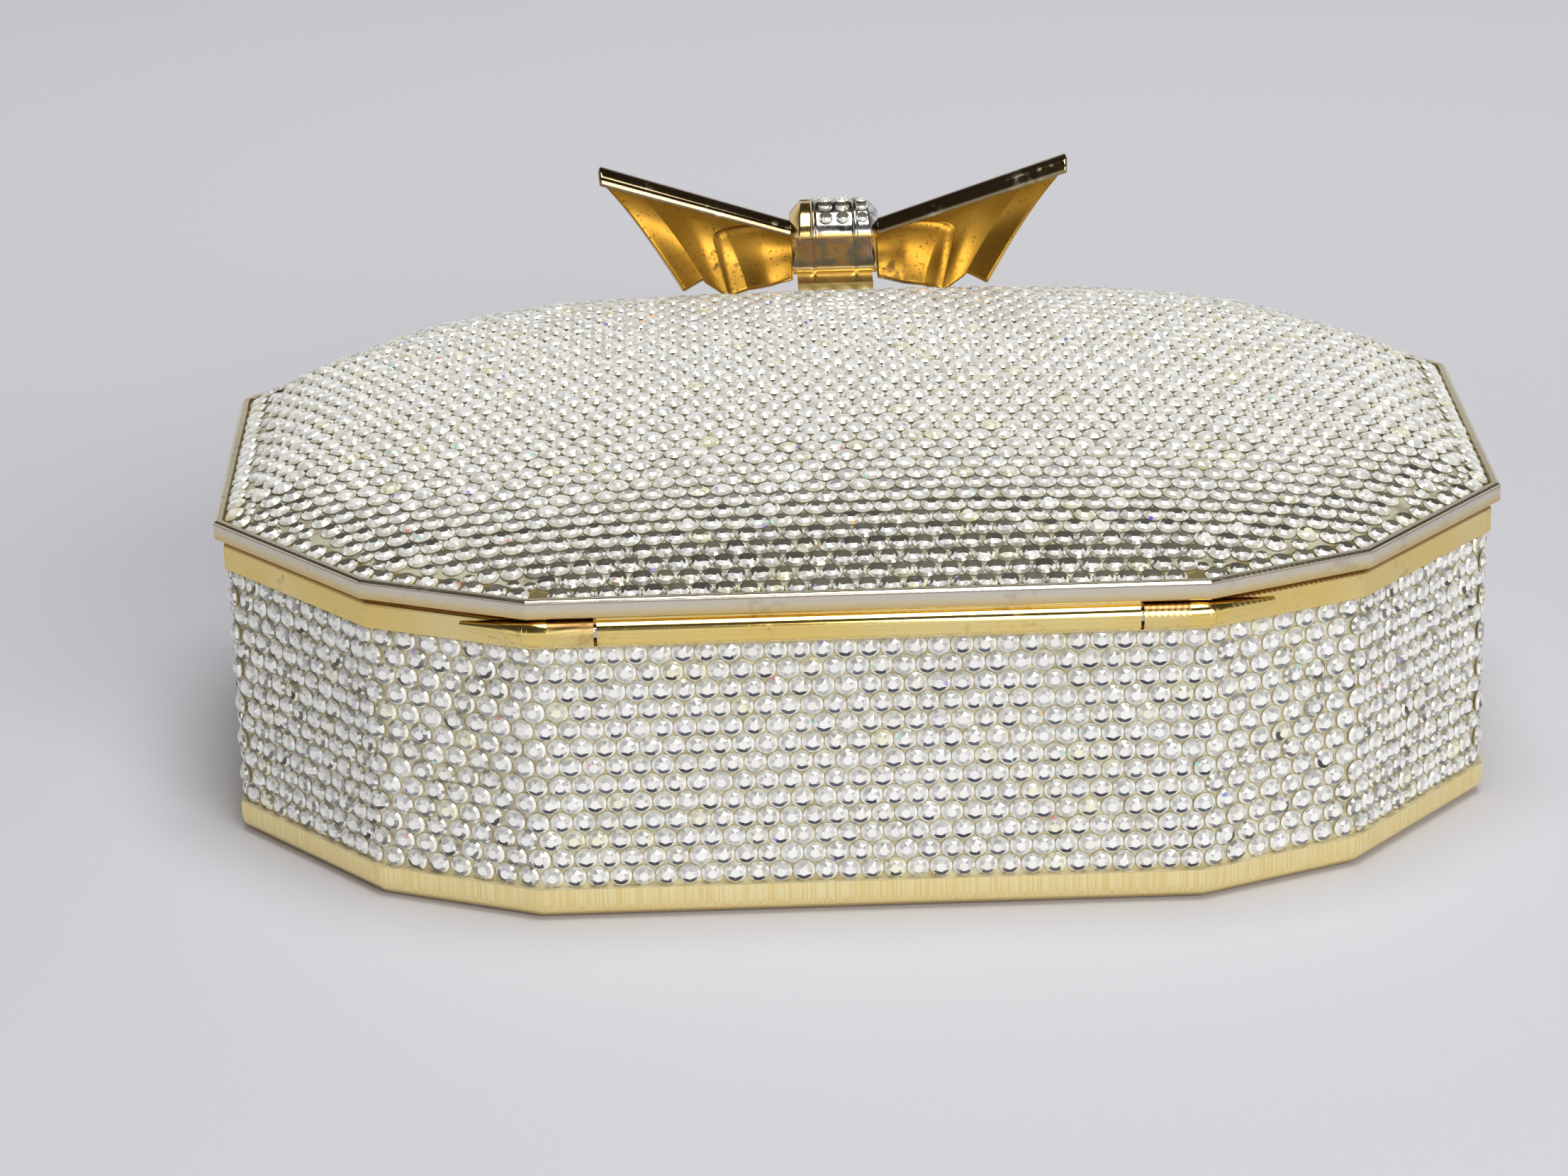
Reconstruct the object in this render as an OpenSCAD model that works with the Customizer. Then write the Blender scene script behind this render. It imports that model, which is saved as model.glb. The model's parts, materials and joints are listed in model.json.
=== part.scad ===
// Paved evening case with a bow clasp, in millimetres.
// It lies flat on its base: X runs along the case, the hinge is at -Y, the bow at +Y, and Z is up.

/* [Case] */

// Length over the lid rim
case_length = 158; // [120:1:200]
// Depth over the lid rim, from hinge side to clasp side
case_depth = 103; // [80:1:130]
// Length of each straight end face, along Y
end_face = 44.5; // [30:0.5:55]
// Length of the straight faces at the hinge and the clasp
straight_face = 80.4; // [70:0.2:95]
// Wall of the base and its bottom edge, inward from the bed of the stones
wall = 1.5; // [1.2:0.1:2]
// Thickness of the base's floor
floor_t = 1.4; // [1:0.1:2]

/* [Base] */

// Height of the plain polished band at the bottom
band_height = 4.2; // [3:0.1:6]
// Radius of the band's bottom edge
band_radius = 2.4; // [1:0.1:2.8]
// Rows of stones up the base wall
wall_rows = 13; // [6:1:16]
// How far the bed of the stones lies behind the band
stone_recess = 0.9; // [0.5:0.1:1.2]
// Height of the plain frame above the stones
frame_height = 3.6; // [3.2:0.1:5]
// How far the lid rim stands out past the base
rim_overhang = 1; // [0.8:0.1:1.4]

/* [Stones] */

// Girdle diameter of one stone
stone_d = 2.58; // [2:0.02:2.66]
// Height of one stone from its flat back to its table
stone_h = 1.05; // [0.8:0.05:1.3]
// Spacing of the stones along a row
stone_pitch = 2.79; // [2.78:0.01:3.2]
// Spacing of the rows
row_pitch = 2.4; // [2.4:0.05:2.8]

/* [Lid] */

// Height of the lid rim's side face
rim_height = 2.5; // [2.2:0.1:3.5]
// Width of the rim's narrow top face
rim_face = 1; // [0.8:0.1:1.4]
// Thickness of the rim at its foot
rim_t = 2.4; // [2:0.1:3]
// Thickness of the domed lid shell
shell_t = 1; // [0.8:0.1:1.2]
// Rise of the dome's shoulder above its foot
dome_rise = 3.7; // [3:0.1:8]
// Further rise of the dome from shoulder to crown
dome_crown = 4.8; // [1:0.1:6]
// How far the crown lies from the middle, towards the clasp
crown_shift = 8.5; // [0:0.5:12]
// Opening between the lid rim and the base frame when shut
lid_gap = 0.3; // [0.2:0.05:0.6]

/* [Hinge] */

// Outer radius of the hinge barrel
barrel_r = 1.75; // [1.4:0.05:1.9]
// Radius of the hinge pin
pin_r = 0.8; // [0.5:0.05:1]
// Length of the barrel, without its tapered ends
hinge_length = 76; // [50:1:80]
// Length of each of the two outer knuckles
outer_knuckle = 5.9; // [4:0.1:10]

/* [Clasp] */

// Width of the bow from tip to tip
bow_width = 63.6; // [48:1:76]
// Radius of the bow's knot
knot_r = 5.2; // [4.6:0.1:6]
// Width of the knot along the case
knot_width = 12.2; // [10:0.2:15]
// Thickness of the cast bow
bow_t = 1; // [0.8:0.1:1.4]
// Width of the lever's foot below the bow
foot_width = 10.3; // [9:0.1:12]
// Radius of the clasp's pin
clasp_pin_r = 0.6; // [0.4:0.05:0.7]

/* [Hidden] */

$fn = 72;

// One overrun for every cut that passes through a face
cut = 1;
// Running gap round a shaft, and the closer one where the pin is held
run_gap = 0.05;
held_gap = 0.02;
// Gap between the barrel and the frame it turns in, and end gap of the knuckles
barrel_gap = 0.15;
knuckle_gap = 0.2;

// Outline: twelve sides, from the end face round to the straight face

half_l = case_length / 2;
half_d = case_depth / 2;
// Where the middle corner of each chamfer pair sits between the two faces
corner_shares = [0.515, 0.713];
quadrant = [
    [half_l, end_face / 2],
    [straight_face / 2 + corner_shares[0] * (half_l - straight_face / 2),
        end_face / 2 + corner_shares[1] * (half_d - end_face / 2)],
    [straight_face / 2, half_d]];
outline = concat(
    quadrant,
    [for (i = [2:-1:0]) [-quadrant[i][0], quadrant[i][1]]],
    [for (i = [0:2]) -quadrant[i]],
    [for (i = [2:-1:0]) [quadrant[i][0], -quadrant[i][1]]]);
sides = len(outline);

function pick(list, i) = list[(i + 2 * len(list)) % len(list)];
function edge(i) = pick(outline, i + 1) - pick(outline, i);
function edge_n(i) = [edge(i)[1], -edge(i)[0]] / norm(edge(i));
function reach(i) = edge_n(i) * pick(outline, i);
// The corner at the start of side i of the outline drawn in by d
function corner(i, d) =
    let (a = edge_n(i - 1), b = edge_n(i), p = reach(i - 1) - d, q = reach(i) - d)
    [p * b[1] - q * a[1], a[0] * q - b[0] * p] / (a[0] * b[1] - a[1] * b[0]);
function inset(d) = [for (i = [0:sides - 1]) corner(i, d)];
function heading(v) = atan2(v[1], v[0]);
function mix(a, b, t) = a * (1 - t) + b * t;

// Heights

// Bare edge left below and above the rows of stones
row_margin = 0.1;
frame_bottom = band_height + wall_rows * row_pitch + 2 * row_margin;
frame_top = frame_bottom + frame_height;
rim_bottom = frame_top + lid_gap;
rim_top = rim_bottom + rim_height;

// Sections, measured inward from the lid rim's outer face

bed = rim_overhang + stone_recess;
wall_in = bed + wall;
// The base frame's inner lip, which the rim closes round
lip_gap = 0.2;
lip_height = 1.1;
lip_out = rim_t + lip_gap;
frame_edge = 0.8;
rim_edge = 0.45;

// A body with the given section on all sides: each side's section runs right across, and the
// body is what all twelve have in common
module all_round()
    intersection_for(i = [0:sides - 1])
        translate((pick(outline, i) + pick(outline, i + 1)) / 2)
            rotate([90, 0, heading(edge_n(i)) + 180])
                linear_extrude(2 * case_length, center = true)
                    children();

across = 2 * case_length;

module band_section() {
    intersection() {
        translate([rim_overhang + band_radius, band_radius])
            circle(band_radius);
        translate([rim_overhang, 0])
            square(band_radius);
    }
    translate([rim_overhang + band_radius, 0])
        square([across, band_radius]);
    translate([rim_overhang, band_radius])
        square([across, band_height - band_radius]);
}

module base_shell() color("gold")
    difference() {
        union() {
            all_round()
                band_section();
            translate([0, 0, band_radius])
                linear_extrude(frame_bottom - band_radius)
                    polygon(inset(bed));
        }
        translate([0, 0, floor_t])
            linear_extrude(frame_top)
                polygon(inset(wall_in));
    }

// Hinge

hinge_y = -(half_d - rim_overhang);
hinge_z = rim_bottom - barrel_r - barrel_gap;
inner_half = hinge_length / 2 - outer_knuckle;
// Each outer knuckle narrows over its end, then runs out as a swelling along the next side
taper = 2.2;
taper_shares = [0.92, 0.3];
flare = 8.5;

// A cylinder along X from one place to another at the hinge's axis
module hinge_rod(from, to, r) {
    translate([from, hinge_y, hinge_z])
        rotate([0, 90, 0])
            cylinder(h = to - from, r = r);
}

module outer_knuckles() {
    for (s = [0, 1]) mirror([s, 0, 0]) {
        hinge_rod(inner_half, hinge_length / 2, barrel_r);
        translate([hinge_length / 2, hinge_y, hinge_z])
            rotate([0, 90, 0])
                cylinder(h = taper, r1 = barrel_r, r2 = barrel_r * taper_shares[0]);
        translate([hinge_length / 2 + taper, hinge_y, hinge_z])
            rotate([0, 90, heading(edge(sides - 3))])
                cylinder(h = flare, r1 = barrel_r * taper_shares[0], r2 = barrel_r * taper_shares[1]);
    }
}

module frame_section() {
    translate([rim_overhang, frame_bottom])
        square([across, frame_height - frame_edge]);
    translate([rim_overhang + frame_edge, frame_bottom])
        square([across, frame_height]);
    translate([rim_overhang + frame_edge, frame_top - frame_edge])
        circle(frame_edge);
    translate([lip_out, frame_bottom])
        square([across, frame_height + lip_height]);
}

module base_frame() color("goldenrod")
    difference() {
        union() {
            all_round()
                frame_section();
            outer_knuckles();
        }
        translate([0, 0, frame_bottom - cut])
            linear_extrude(frame_top)
                polygon(inset(wall_in));
        hinge_rod(-inner_half - knuckle_gap, inner_half + knuckle_gap, barrel_r + barrel_gap);
        hinge_rod(-hinge_length / 2, hinge_length / 2, pin_r + held_gap);
        catch_slot();
        lip_notch();
    }

module hinge_pin() color("silver")
    hinge_rod(-hinge_length / 2, hinge_length / 2, pin_r);

// The lid's long middle knuckle, with the leaf that joins it to the rim
leaf_t = 1.2;
module lid_hinge_knuckle() color("khaki")
    difference() {
        union() {
            hinge_rod(-inner_half + knuckle_gap, inner_half - knuckle_gap, barrel_r);
            translate([-inner_half + knuckle_gap, hinge_y - leaf_t / 2, hinge_z])
                cube([2 * (inner_half - knuckle_gap), leaf_t, rim_bottom - hinge_z]);
        }
        hinge_rod(-inner_half, inner_half, pin_r + run_gap);
    }

// Stones

table_share = 0.55;
// Thickness of glue under each stone
glue = 0.02;

module stone(d, h)
    cylinder(h = h, d1 = d, d2 = d * table_share, $fn = 24);

// How many stones fit along side i of the wall
function wall_count(i) = round(norm(corner(i + 1, bed) - corner(i, bed)) / stone_pitch);

// Stones on one side of the base: even rows lie inside the side, odd rows also take its first corner
module wall_stones(i) {
    n = wall_count(i);
    for (row = [0:wall_rows - 1])
        for (k = [0:n - 1]) {
            at_corner = row % 2 == 1 && k == 0;
            t = (row % 2 == 1 ? k : k + 0.5) / n;
            facing = at_corner ? edge_n(i - 1) + edge_n(i) : edge_n(i);
            spot = mix(corner(i, bed), corner(i + 1, bed), t) + facing / norm(facing) * glue;
            translate([spot[0], spot[1], band_height + row_margin + (row + 0.5) * row_pitch])
                rotate([0, 90, heading(facing)])
                    stone(stone_d, stone_h);
        }
}

module base_stones_clasp_side() color("white")
    for (i = [1:3])
        wall_stones(i);

module base_stones_left() color("white")
    for (i = [4:6])
        wall_stones(i);

module base_stones_hinge_side() color("white")
    for (i = [7:9])
        wall_stones(i);

module base_stones_right() color("white")
    for (i = [10:12])
        wall_stones(i);

// Dome of the lid

// Where the dome's foot lies in the rim, how far it is let in, and the ledge under it
dome_in = rim_face + run_gap;
foot_drop = 0.5;
ledge_height = 0.9;
dome_foot = rim_top - foot_drop;
ledge_z = rim_bottom + ledge_height;
// Steepness of the dome's edge at the hinge, the ends and the clasp
edge_slope_shares = [0.37, 0.5, 0.8];
// How softly its shoulder and corners turn
shoulder_blend = 1.5;
corner_blend = 0.4;

function edge_slope(i) =
    let (toward = edge_n(i)[1])
    mix(edge_slope_shares[1], edge_slope_shares[toward < 0 ? 0 : 2], abs(toward));
// Height of the dome's sloping edge at p, rounded at the corners
function edge_rise(p) =
    -corner_blend * ln([for (i = [0:sides - 1]) exp(-edge_slope(i) * to_foot(i, p) / corner_blend)]
        * [for (i = [0:sides - 1]) 1]);
function to_foot(i, p) = reach(i) - dome_in - edge_n(i) * p;
function crown(p) =
    dome_rise + dome_crown * (1 - pow(p[0] / half_l, 2) - pow((p[1] - crown_shift) / half_d, 2));
function soft_min(a, b) = (a + b - sqrt(pow(a - b, 2) + pow(shoulder_blend, 2))) / 2;
function dome_z(p) = dome_foot + soft_min(edge_rise(p), crown(p));

// Slope of the dome at p, from heights on both sides of it
feel = 0.01;
function slope(p) = [
    (dome_z(p + [feel, 0]) - dome_z(p - [feel, 0])) / (2 * feel),
    (dome_z(p + [0, feel]) - dome_z(p - [0, feel])) / (2 * feel)];
function dome_n(p) = let (s = slope(p)) [-s[0], -s[1], 1] / norm([s[0], s[1], 1]);

// Rings of the dome's faces, as shares of the way from foot to middle
ring_shares = [0, 0.02, 0.045, 0.075, 0.11, 0.15, 0.19, 0.23, 0.28, 0.36, 0.48, 0.64, 0.82];
face_length = 10;
function steps(i) = max(1, round(norm(edge(i)) / face_length));
function loop(d) = [for (i = [0:sides - 1]) for (k = [0:steps(i) - 1])
    mix(corner(i, d), corner(i + 1, d), k / steps(i))];

// Least height of a cap's inner skin over its edge
skin_least = 0.2;
// A domed cap between two skins, each drawn in and dropped from the dome, with a flat edge below
module cap(in_a, drop_a, in_b, drop_b, edge_z) {
    a = loop(in_a);
    b = loop(in_b);
    m = len(a);
    rings = len(ring_shares);
    skin_a = [for (s = ring_shares) for (p = a) let (q = p * (1 - s)) [q[0], q[1], dome_z(q) - drop_a]];
    skin_b = [for (s = ring_shares) for (p = b) let (q = p * (1 - s))
        [q[0], q[1], max(dome_z(q) - drop_b, edge_z + skin_least)]];
    top = dome_z([0, 0]);
    points = concat(skin_a, skin_b, [for (p = a) [p[0], p[1], edge_z]],
        [for (p = b) [p[0], p[1], edge_z]], [[0, 0, top - drop_a], [0, 0, top - drop_b]]);
    second = rings * m;
    foot_a = 2 * second;
    foot_b = foot_a + m;
    mid_a = foot_b + m;
    last = (rings - 1) * m;
    faces = concat(
        [for (r = [0:rings - 2]) for (j = [0:m - 1]) for (f = quad(r * m, (r + 1) * m, j, m)) f],
        [for (r = [0:rings - 2]) for (j = [0:m - 1])
            for (f = quad(second + (r + 1) * m, second + r * m, j, m)) f],
        [for (j = [0:m - 1]) [last + j, mid_a, last + (j + 1) % m]],
        [for (j = [0:m - 1]) [second + last + j, second + last + (j + 1) % m, mid_a + 1]],
        [for (j = [0:m - 1]) for (f = quad(foot_a, 0, j, m)) f],
        [for (j = [0:m - 1]) for (f = quad(foot_b, foot_a, j, m)) f],
        [for (j = [0:m - 1]) for (f = quad(second, foot_b, j, m)) f]);
    polyhedron(points, faces);
}
// Two triangles between step j of one loop of m points and the loop after it
function quad(low, high, j, m) =
    let (k = (j + 1) % m)
    [[low + j, high + j, high + k], [low + j, high + k, low + k]];

shell_drop_share = 1.12;
module lid_shell() color("palegoldenrod")
    cap(dome_in, 0, dome_in + shell_t, shell_t * shell_drop_share, ledge_z);

module rim_section() {
    translate([rim_edge, rim_bottom])
        square([across, rim_height]);
    translate([0, rim_bottom + rim_edge])
        square([across, rim_height - 2 * rim_edge]);
    for (z = [rim_bottom + rim_edge, rim_top - rim_edge])
        translate([rim_edge, z])
            circle(rim_edge);
}

module lid_rim() color("wheat")
    difference() {
        all_round()
            rim_section();
        translate([0, 0, rim_bottom - cut])
            linear_extrude(rim_height + 2 * cut)
                polygon(inset(rim_t));
        translate([0, 0, ledge_z])
            linear_extrude(rim_height)
                polygon(inset(rim_face));
    }

// Stones of the lid

// Distance of the border row from the dome's foot, and least distance of the field from its line
border_in = 1.4;
field_gap = 1.2;
// Least gap between the girdles of two stones
girdle_gap = 0.03;

module dome_stone(p, d, h) {
    n = dome_n(p);
    translate([p[0], p[1], dome_z(p)] + n * glue)
        rotate([0, acos(n[2]), heading(n)])
            stone(d, h);
}

// The field's own first and last rows run along the straight faces, so the border leaves those out
straight = [2, 8];
function is_straight(i) = len([for (k = straight) if (k == i) k]) > 0;

border = [for (i = [0:sides - 1]) if (!is_straight(i))
    let (from = corner(i, dome_in + border_in),
        to = corner(i + 1, dome_in + border_in),
        n = floor(norm(to - from) / stone_pitch))
    for (k = [0:n - 1]) mix(from, to, (k + 0.5) / n)];

module lid_border_stones() color("ivory") {
    for (p = border)
        dome_stone(p, stone_d, stone_h);
    laid = edge_stones();
    filled = fill(chip_d, fill(gem_d, fill(stone_d, laid)));
    for (k = [len(laid):len(filled) - 1])
        for (along = [-1, 1])
            dome_stone([along * filled[k][0], filled[k][1]], filled[k][2],
                filled[k][2] == stone_d ? stone_h : filled[k][2] == gem_d ? gem_h : chip_h);
}

// Way along the dome's middle section from y to the middle, in short walks
walk = 0.5;
function climb(y) = y == 0 ? 0 :
    let (w = sign(y) * min(walk, abs(y))) norm([w, w * slope([0, y - w / 2])[1]]) + climb(y - w);
function next_y(y, step) = y + step / norm([1, slope([0, y + step / 2])[1]]);
function rows_from(y, step, k) = k == 0 ? [] : concat([y], rows_from(next_y(y, step), step, k - 1));
// Rows from the one beside the rim to the last one before the middle, at equal steps up the dome
function rows_up(first) =
    let (way = climb(first), n = floor(way / row_pitch)) rows_from(first, -sign(first) * way / n, n);
first_row = half_d - dome_in - border_in;
hinge_rows = rows_up(-first_row);
clasp_rows = rows_up(first_row);

// Columns: half a pitch apart along the dome from the middle to the end, so that rows nest
half_step = stone_pitch / 2;
column_line_share = -0.6;
column_line = column_line_share * half_d;
function next_x(x) = x + half_step / norm([1, slope([x + half_step / 2, column_line])[0]]);
function columns_from(x) = x > half_l - dome_in - border_in ? [] : concat([x], columns_from(next_x(x)));
columns = columns_from(0);

// A stone of the field stands clear of the border row's line and of each of its stones
function in_field(p) =
    min([for (i = [0:sides - 1]) is_straight(i) ? field_gap : to_foot(i, p) - border_in]) >= field_gap
    && min([for (q = border) norm(p - q)]) >= stone_d + girdle_gap;

// A quarter of the field: the given rows, the last of them so many rows short of the middle, and
// the columns from the middle outward
function quarter_spots(rows, short, first_column) = [
    for (k = [0:len(rows) - 1])
        for (c = [first_column:len(columns) - 1])
            if ((len(rows) - 1 - k + short + c) % 2 == 0 && in_field([columns[c], rows[k]]))
                [columns[c], rows[k]]];

module quarter_field(along, rows, short, first_column)
    for (p = quarter_spots(rows, short, first_column))
        dome_stone([along * p[0], p[1]], stone_d, stone_h);

module lid_stones_hinge_right() color("ivory")
    quarter_field(1, concat(hinge_rows, [0]), 0, 0);

module lid_stones_hinge_left() color("ivory")
    quarter_field(-1, concat(hinge_rows, [0]), 0, 1);

module lid_stones_clasp_right() color("ivory")
    quarter_field(1, clasp_rows, 1, 0);

module lid_stones_clasp_left() color("ivory")
    quarter_field(-1, clasp_rows, 1, 1);

// Loose stones fill the wedges that the slanting border leaves, large ones first. On one half of the
// lid, spots on lines beside the border row are tried in turn for each size, and a spot is taken
// that clears every stone so far.
fill_from = 1.7;
fill_to = 4;
fill_step = 0.25;
function fill_spots() = [
    for (i = [0:sides - 1])
        if (!is_straight(i) && edge_n(i)[0] > 0)
            for (d = [fill_from:fill_step:fill_to])
                let (from = corner(i, dome_in + border_in + d),
                    to = corner(i + 1, dome_in + border_in + d),
                    n = floor(norm(to - from) / fill_step))
                for (k = [0:n - 1]) mix(from, to, (k + 0.5) / n)];
// Stones already laid near the edge of that half, as their places and diameters
function edge_stones() = [
    for (p = concat(border, quarter_spots(concat(hinge_rows, [0]), 0, 0), quarter_spots(clasp_rows, 1, 0)))
        if (p[0] > 0 && min([for (i = [0:sides - 1]) to_foot(i, p)]) < border_in + fill_to + stone_d)
            [p[0], p[1], stone_d]];
function is_clear(p, d, others) =
    len([for (q = others) if (norm([p[0] - q[0], p[1] - q[1]]) < (d + q[2]) / 2 + girdle_gap) q]) == 0;
function fill(d, laid) = fill_on(fill_spots(), 0, d, laid);
function fill_on(spots, k, d, laid) = k == len(spots) ? laid
    : fill_on(spots, k + 1, d, is_clear(spots[k], d, laid)
        ? concat(laid, [[spots[k][0], spots[k][1], d]]) : laid);

// Linings

lining_t = 0.8;
lining_gap = 0.05;
lining_drop = 0.3;
lining_top = frame_top - lining_drop;

module base_lining() color("tan")
    difference() {
        translate([0, 0, floor_t + lining_gap])
            linear_extrude(lining_top - floor_t - lining_gap)
                polygon(inset(wall_in + lining_gap));
        translate([0, 0, floor_t + lining_gap + lining_t])
            linear_extrude(lining_top)
                polygon(inset(wall_in + lining_gap + lining_t));
        lining_notch();
    }

lid_lining_gap = 1;
lid_lining_in = wall_in + lid_lining_gap;
lid_lining_lift = 0.1;
// Room for glue between the shell and its lining
lid_lining_glue = 0.25;
lid_lining_drop = shell_t * shell_drop_share + lid_lining_glue;
module lid_lining() color("tan")
    cap(lid_lining_in, lid_lining_drop, lid_lining_in + lining_t, lid_lining_drop + lining_t,
        ledge_z + lid_lining_lift);

// Clasp: bracket, pin and lever outside, spring catch and tongue inside

front_y = half_d - rim_overhang;
// The lever's pivot stands clear in front of the rim
pivot_r = 1.5;
pivot_gap = 0.4;
pivot_y = half_d + pivot_gap + pivot_r;
pivot_lift = 1.2;
pivot_z = rim_bottom + pivot_lift;
lever_half = 4.1;
lever_gap = 0.15;
ear_t = 1.9;
lever_t = 1.2;

// Slot in the frame for the spring's pad and the lever's toe
slot_from = 0.7;
slot_to = 4.2;
slot_edge = 0.6;
slot_low = frame_bottom + slot_edge;
slot_high = frame_top - slot_edge / 2;
toe_side = 0.5;
toe_lift = 0.4;
pad_z = slot_low + toe_lift;
pad_t = 1;
pad_out = 0.1;
toe_gap = 0.15;

module catch_slot() {
    translate([slot_from, front_y - wall_in, slot_low])
        cube([slot_to - slot_from, wall_in + cut, slot_high - slot_low]);
}

module clasp_bracket() color("darkgoldenrod")
    difference() {
        for (s = [0, 1]) mirror([s, 0, 0]) {
            translate([lever_half + lever_gap, front_y, slot_low])
                cube([ear_t, pivot_y + pivot_r - front_y, frame_top - frame_edge - slot_low]);
            translate([lever_half + lever_gap, pivot_y - pivot_r, slot_low])
                cube([ear_t, 2 * pivot_r, pivot_z - slot_low]);
            translate([lever_half + lever_gap, pivot_y, pivot_z])
                rotate([0, 90, 0])
                    cylinder(h = ear_t, r = pivot_r);
        }
        pivot_rod(lever_half + lever_gap + ear_t + cut, clasp_pin_r + held_gap);
    }

module pivot_rod(half, r) {
    translate([-half, pivot_y, pivot_z])
        rotate([0, 90, 0])
            cylinder(h = 2 * half, r = r);
}

module clasp_pin() color("silver")
    pivot_rod(lever_half + lever_gap + ear_t, clasp_pin_r);

// The knot's middle, out and up from the pivot, and the flat on which the lever carries it
knot_out = 4.1;
knot_up = 9.7;
knot_y = pivot_y + knot_out;
knot_z = pivot_z + knot_up;
knot_wall = 1.1;
knot_in = knot_r - knot_wall;
flat = 0.25;
knot_seat = knot_z - knot_r + flat;

module clasp_lever() color("darkgoldenrod")
    difference() {
        union() {
            pivot_rod(lever_half, pivot_r);
            // Arm between the ears, then the wider foot that shows below the bow
            translate([-lever_half, pivot_y - lever_t / 2, pivot_z])
                cube([2 * lever_half, lever_t, pivot_r + lever_gap + cut]);
            translate([-foot_width / 2, pivot_y - lever_t / 2, pivot_z + pivot_r + lever_gap])
                cube([foot_width, lever_t, knot_seat - pivot_z - pivot_r - lever_gap]);
            // Flange that carries the knot
            translate([-foot_width / 2, pivot_y - lever_t / 2, knot_seat - lever_t])
                cube([foot_width, knot_out + lever_t / 2, lever_t]);
            // Toe that presses the spring's pad through the slot
            translate([slot_from + toe_side, pivot_y - lever_t / 2, pad_z])
                cube([slot_to - slot_from - 2 * toe_side, lever_t, pivot_z - pad_z]);
            translate([slot_from + toe_side, front_y + pad_out + toe_gap, pad_z])
                cube([slot_to - slot_from - 2 * toe_side, pivot_y - front_y - pad_out - toe_gap, pad_t]);
        }
        pivot_rod(lever_half + cut, clasp_pin_r + run_gap);
    }

// Tongue of the lid, with the window that the spring's nose enters
tongue_t = 0.9;
tongue_from = -5.2;
tongue_to = -0.2;
tongue_gap = 0.4;
window_edge = 0.8;
tongue_y = half_d - wall_in - tongue_gap - tongue_t;
tongue_low = frame_bottom;
nose_lift = 0.9;
nose_z = slot_low + nose_lift;
nose_h = 0.9;
window_play = 0.3;
notch_gap = 0.3;

module lid_tongue() color("khaki")
    difference() {
        union() {
            translate([tongue_from, tongue_y, tongue_low])
                cube([tongue_to - tongue_from, tongue_t, ledge_z - tongue_low]);
            // Shoulder through the notch in the base's lip to the rim's inner face
            translate([tongue_from, tongue_y, rim_bottom])
                cube([tongue_to - tongue_from, half_d - rim_t - tongue_y, ledge_height]);
        }
        translate([tongue_from + window_edge, tongue_y - cut, nose_z - window_play])
            cube([tongue_to - tongue_from - 2 * window_edge, tongue_t + 2 * cut,
                nose_h + 2 * window_play]);
    }

module lip_notch() {
    translate([tongue_from - notch_gap, tongue_y, frame_top])
        cube([tongue_to - tongue_from + 2 * notch_gap, wall_in + cut, lip_height + cut]);
}

// Flat spring inside the front wall: a nose for the tongue and a pad for the lever's toe
spring_t = 0.5;
spring_reach = 6;
spring_low = frame_bottom - spring_reach;
spring_gap = 0.3;
spring_y = tongue_y - spring_gap - spring_t;
block_h = 2.4;
module catch_spring() color("silver") {
    translate([tongue_from, spring_y, spring_low])
        cube([slot_to - tongue_from, spring_t, pad_z + pad_t - spring_low]);
    translate([tongue_from + window_edge + window_play, spring_y, nose_z])
        cube([tongue_to - tongue_from - 2 * window_edge - 2 * window_play,
            spring_t + spring_gap + tongue_t, nose_h]);
    translate([slot_from + toe_side, spring_y, pad_z])
        cube([slot_to - slot_from - 2 * toe_side, front_y + pad_out - spring_y, pad_t]);
}

module catch_rivets() color("gray") {
    // Packing block between the wall and the spring's foot, with two rivet heads
    translate([tongue_from, spring_y + spring_t, spring_low])
        cube([slot_to - tongue_from, half_d - wall_in - spring_y - spring_t, block_h]);
    for (x = [tongue_from + block_h / 2, slot_to - block_h / 2])
        translate([x, spring_y, spring_low + block_h / 2])
            rotate([90, 0, 0])
                cylinder(h = spring_t, r = block_h / 3);
}

// Cut-out of the lining round the spring and the tongue
module lining_notch() {
    translate([tongue_from - cut, spring_y - cut, spring_low - notch_gap])
        cube([slot_to - tongue_from + 2 * cut, half_d, lining_top]);
}

// Bow

ridge = 0.3;
ridge_w = 0.5;
panel_half = 2.6;
knot_half = knot_width / 2;
// The knot is a round bar, drawn in towards its ends: shares of its half width and of its radius
knot_shares = [[0.77, 1], [0.9, 0.92], [1, 0.7]];
// The back of the knot is open from a little above its middle down to its bottom
back_lift = 1.5;

module knot_bar(half, r)
    translate([0, knot_y, knot_z])
        rotate([0, 90, 0])
            rotate_extrude()
                polygon(concat(
                    [[0, -half]],
                    [for (k = [2:-1:0]) [r * knot_shares[k][1], -half * knot_shares[k][0]]],
                    [for (k = [0:2]) [r * knot_shares[k][1], half * knot_shares[k][0]]],
                    [[0, half]]));

module bow_knot() color("gold")
    difference() {
        union() {
            knot_bar(knot_half, knot_r);
            for (s = [0, 1]) mirror([s, 0, 0])
                translate([panel_half, knot_y, knot_z])
                    rotate([0, 90, 0])
                        cylinder(h = ridge_w, r = knot_r + ridge);
        }
        knot_bar(knot_half - knot_wall, knot_in);
        translate([-knot_half - cut, knot_y - 2 * knot_r, knot_z - 2 * knot_r])
            cube([2 * (knot_half + cut), 2 * knot_r, 2 * knot_r + back_lift]);
        // Flat that sits on the lever's flange
        translate([-knot_half - cut, knot_y - 2 * knot_r, knot_seat - lever_t])
            cube([2 * (knot_half + cut), 4 * knot_r, lever_t]);
    }

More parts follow.
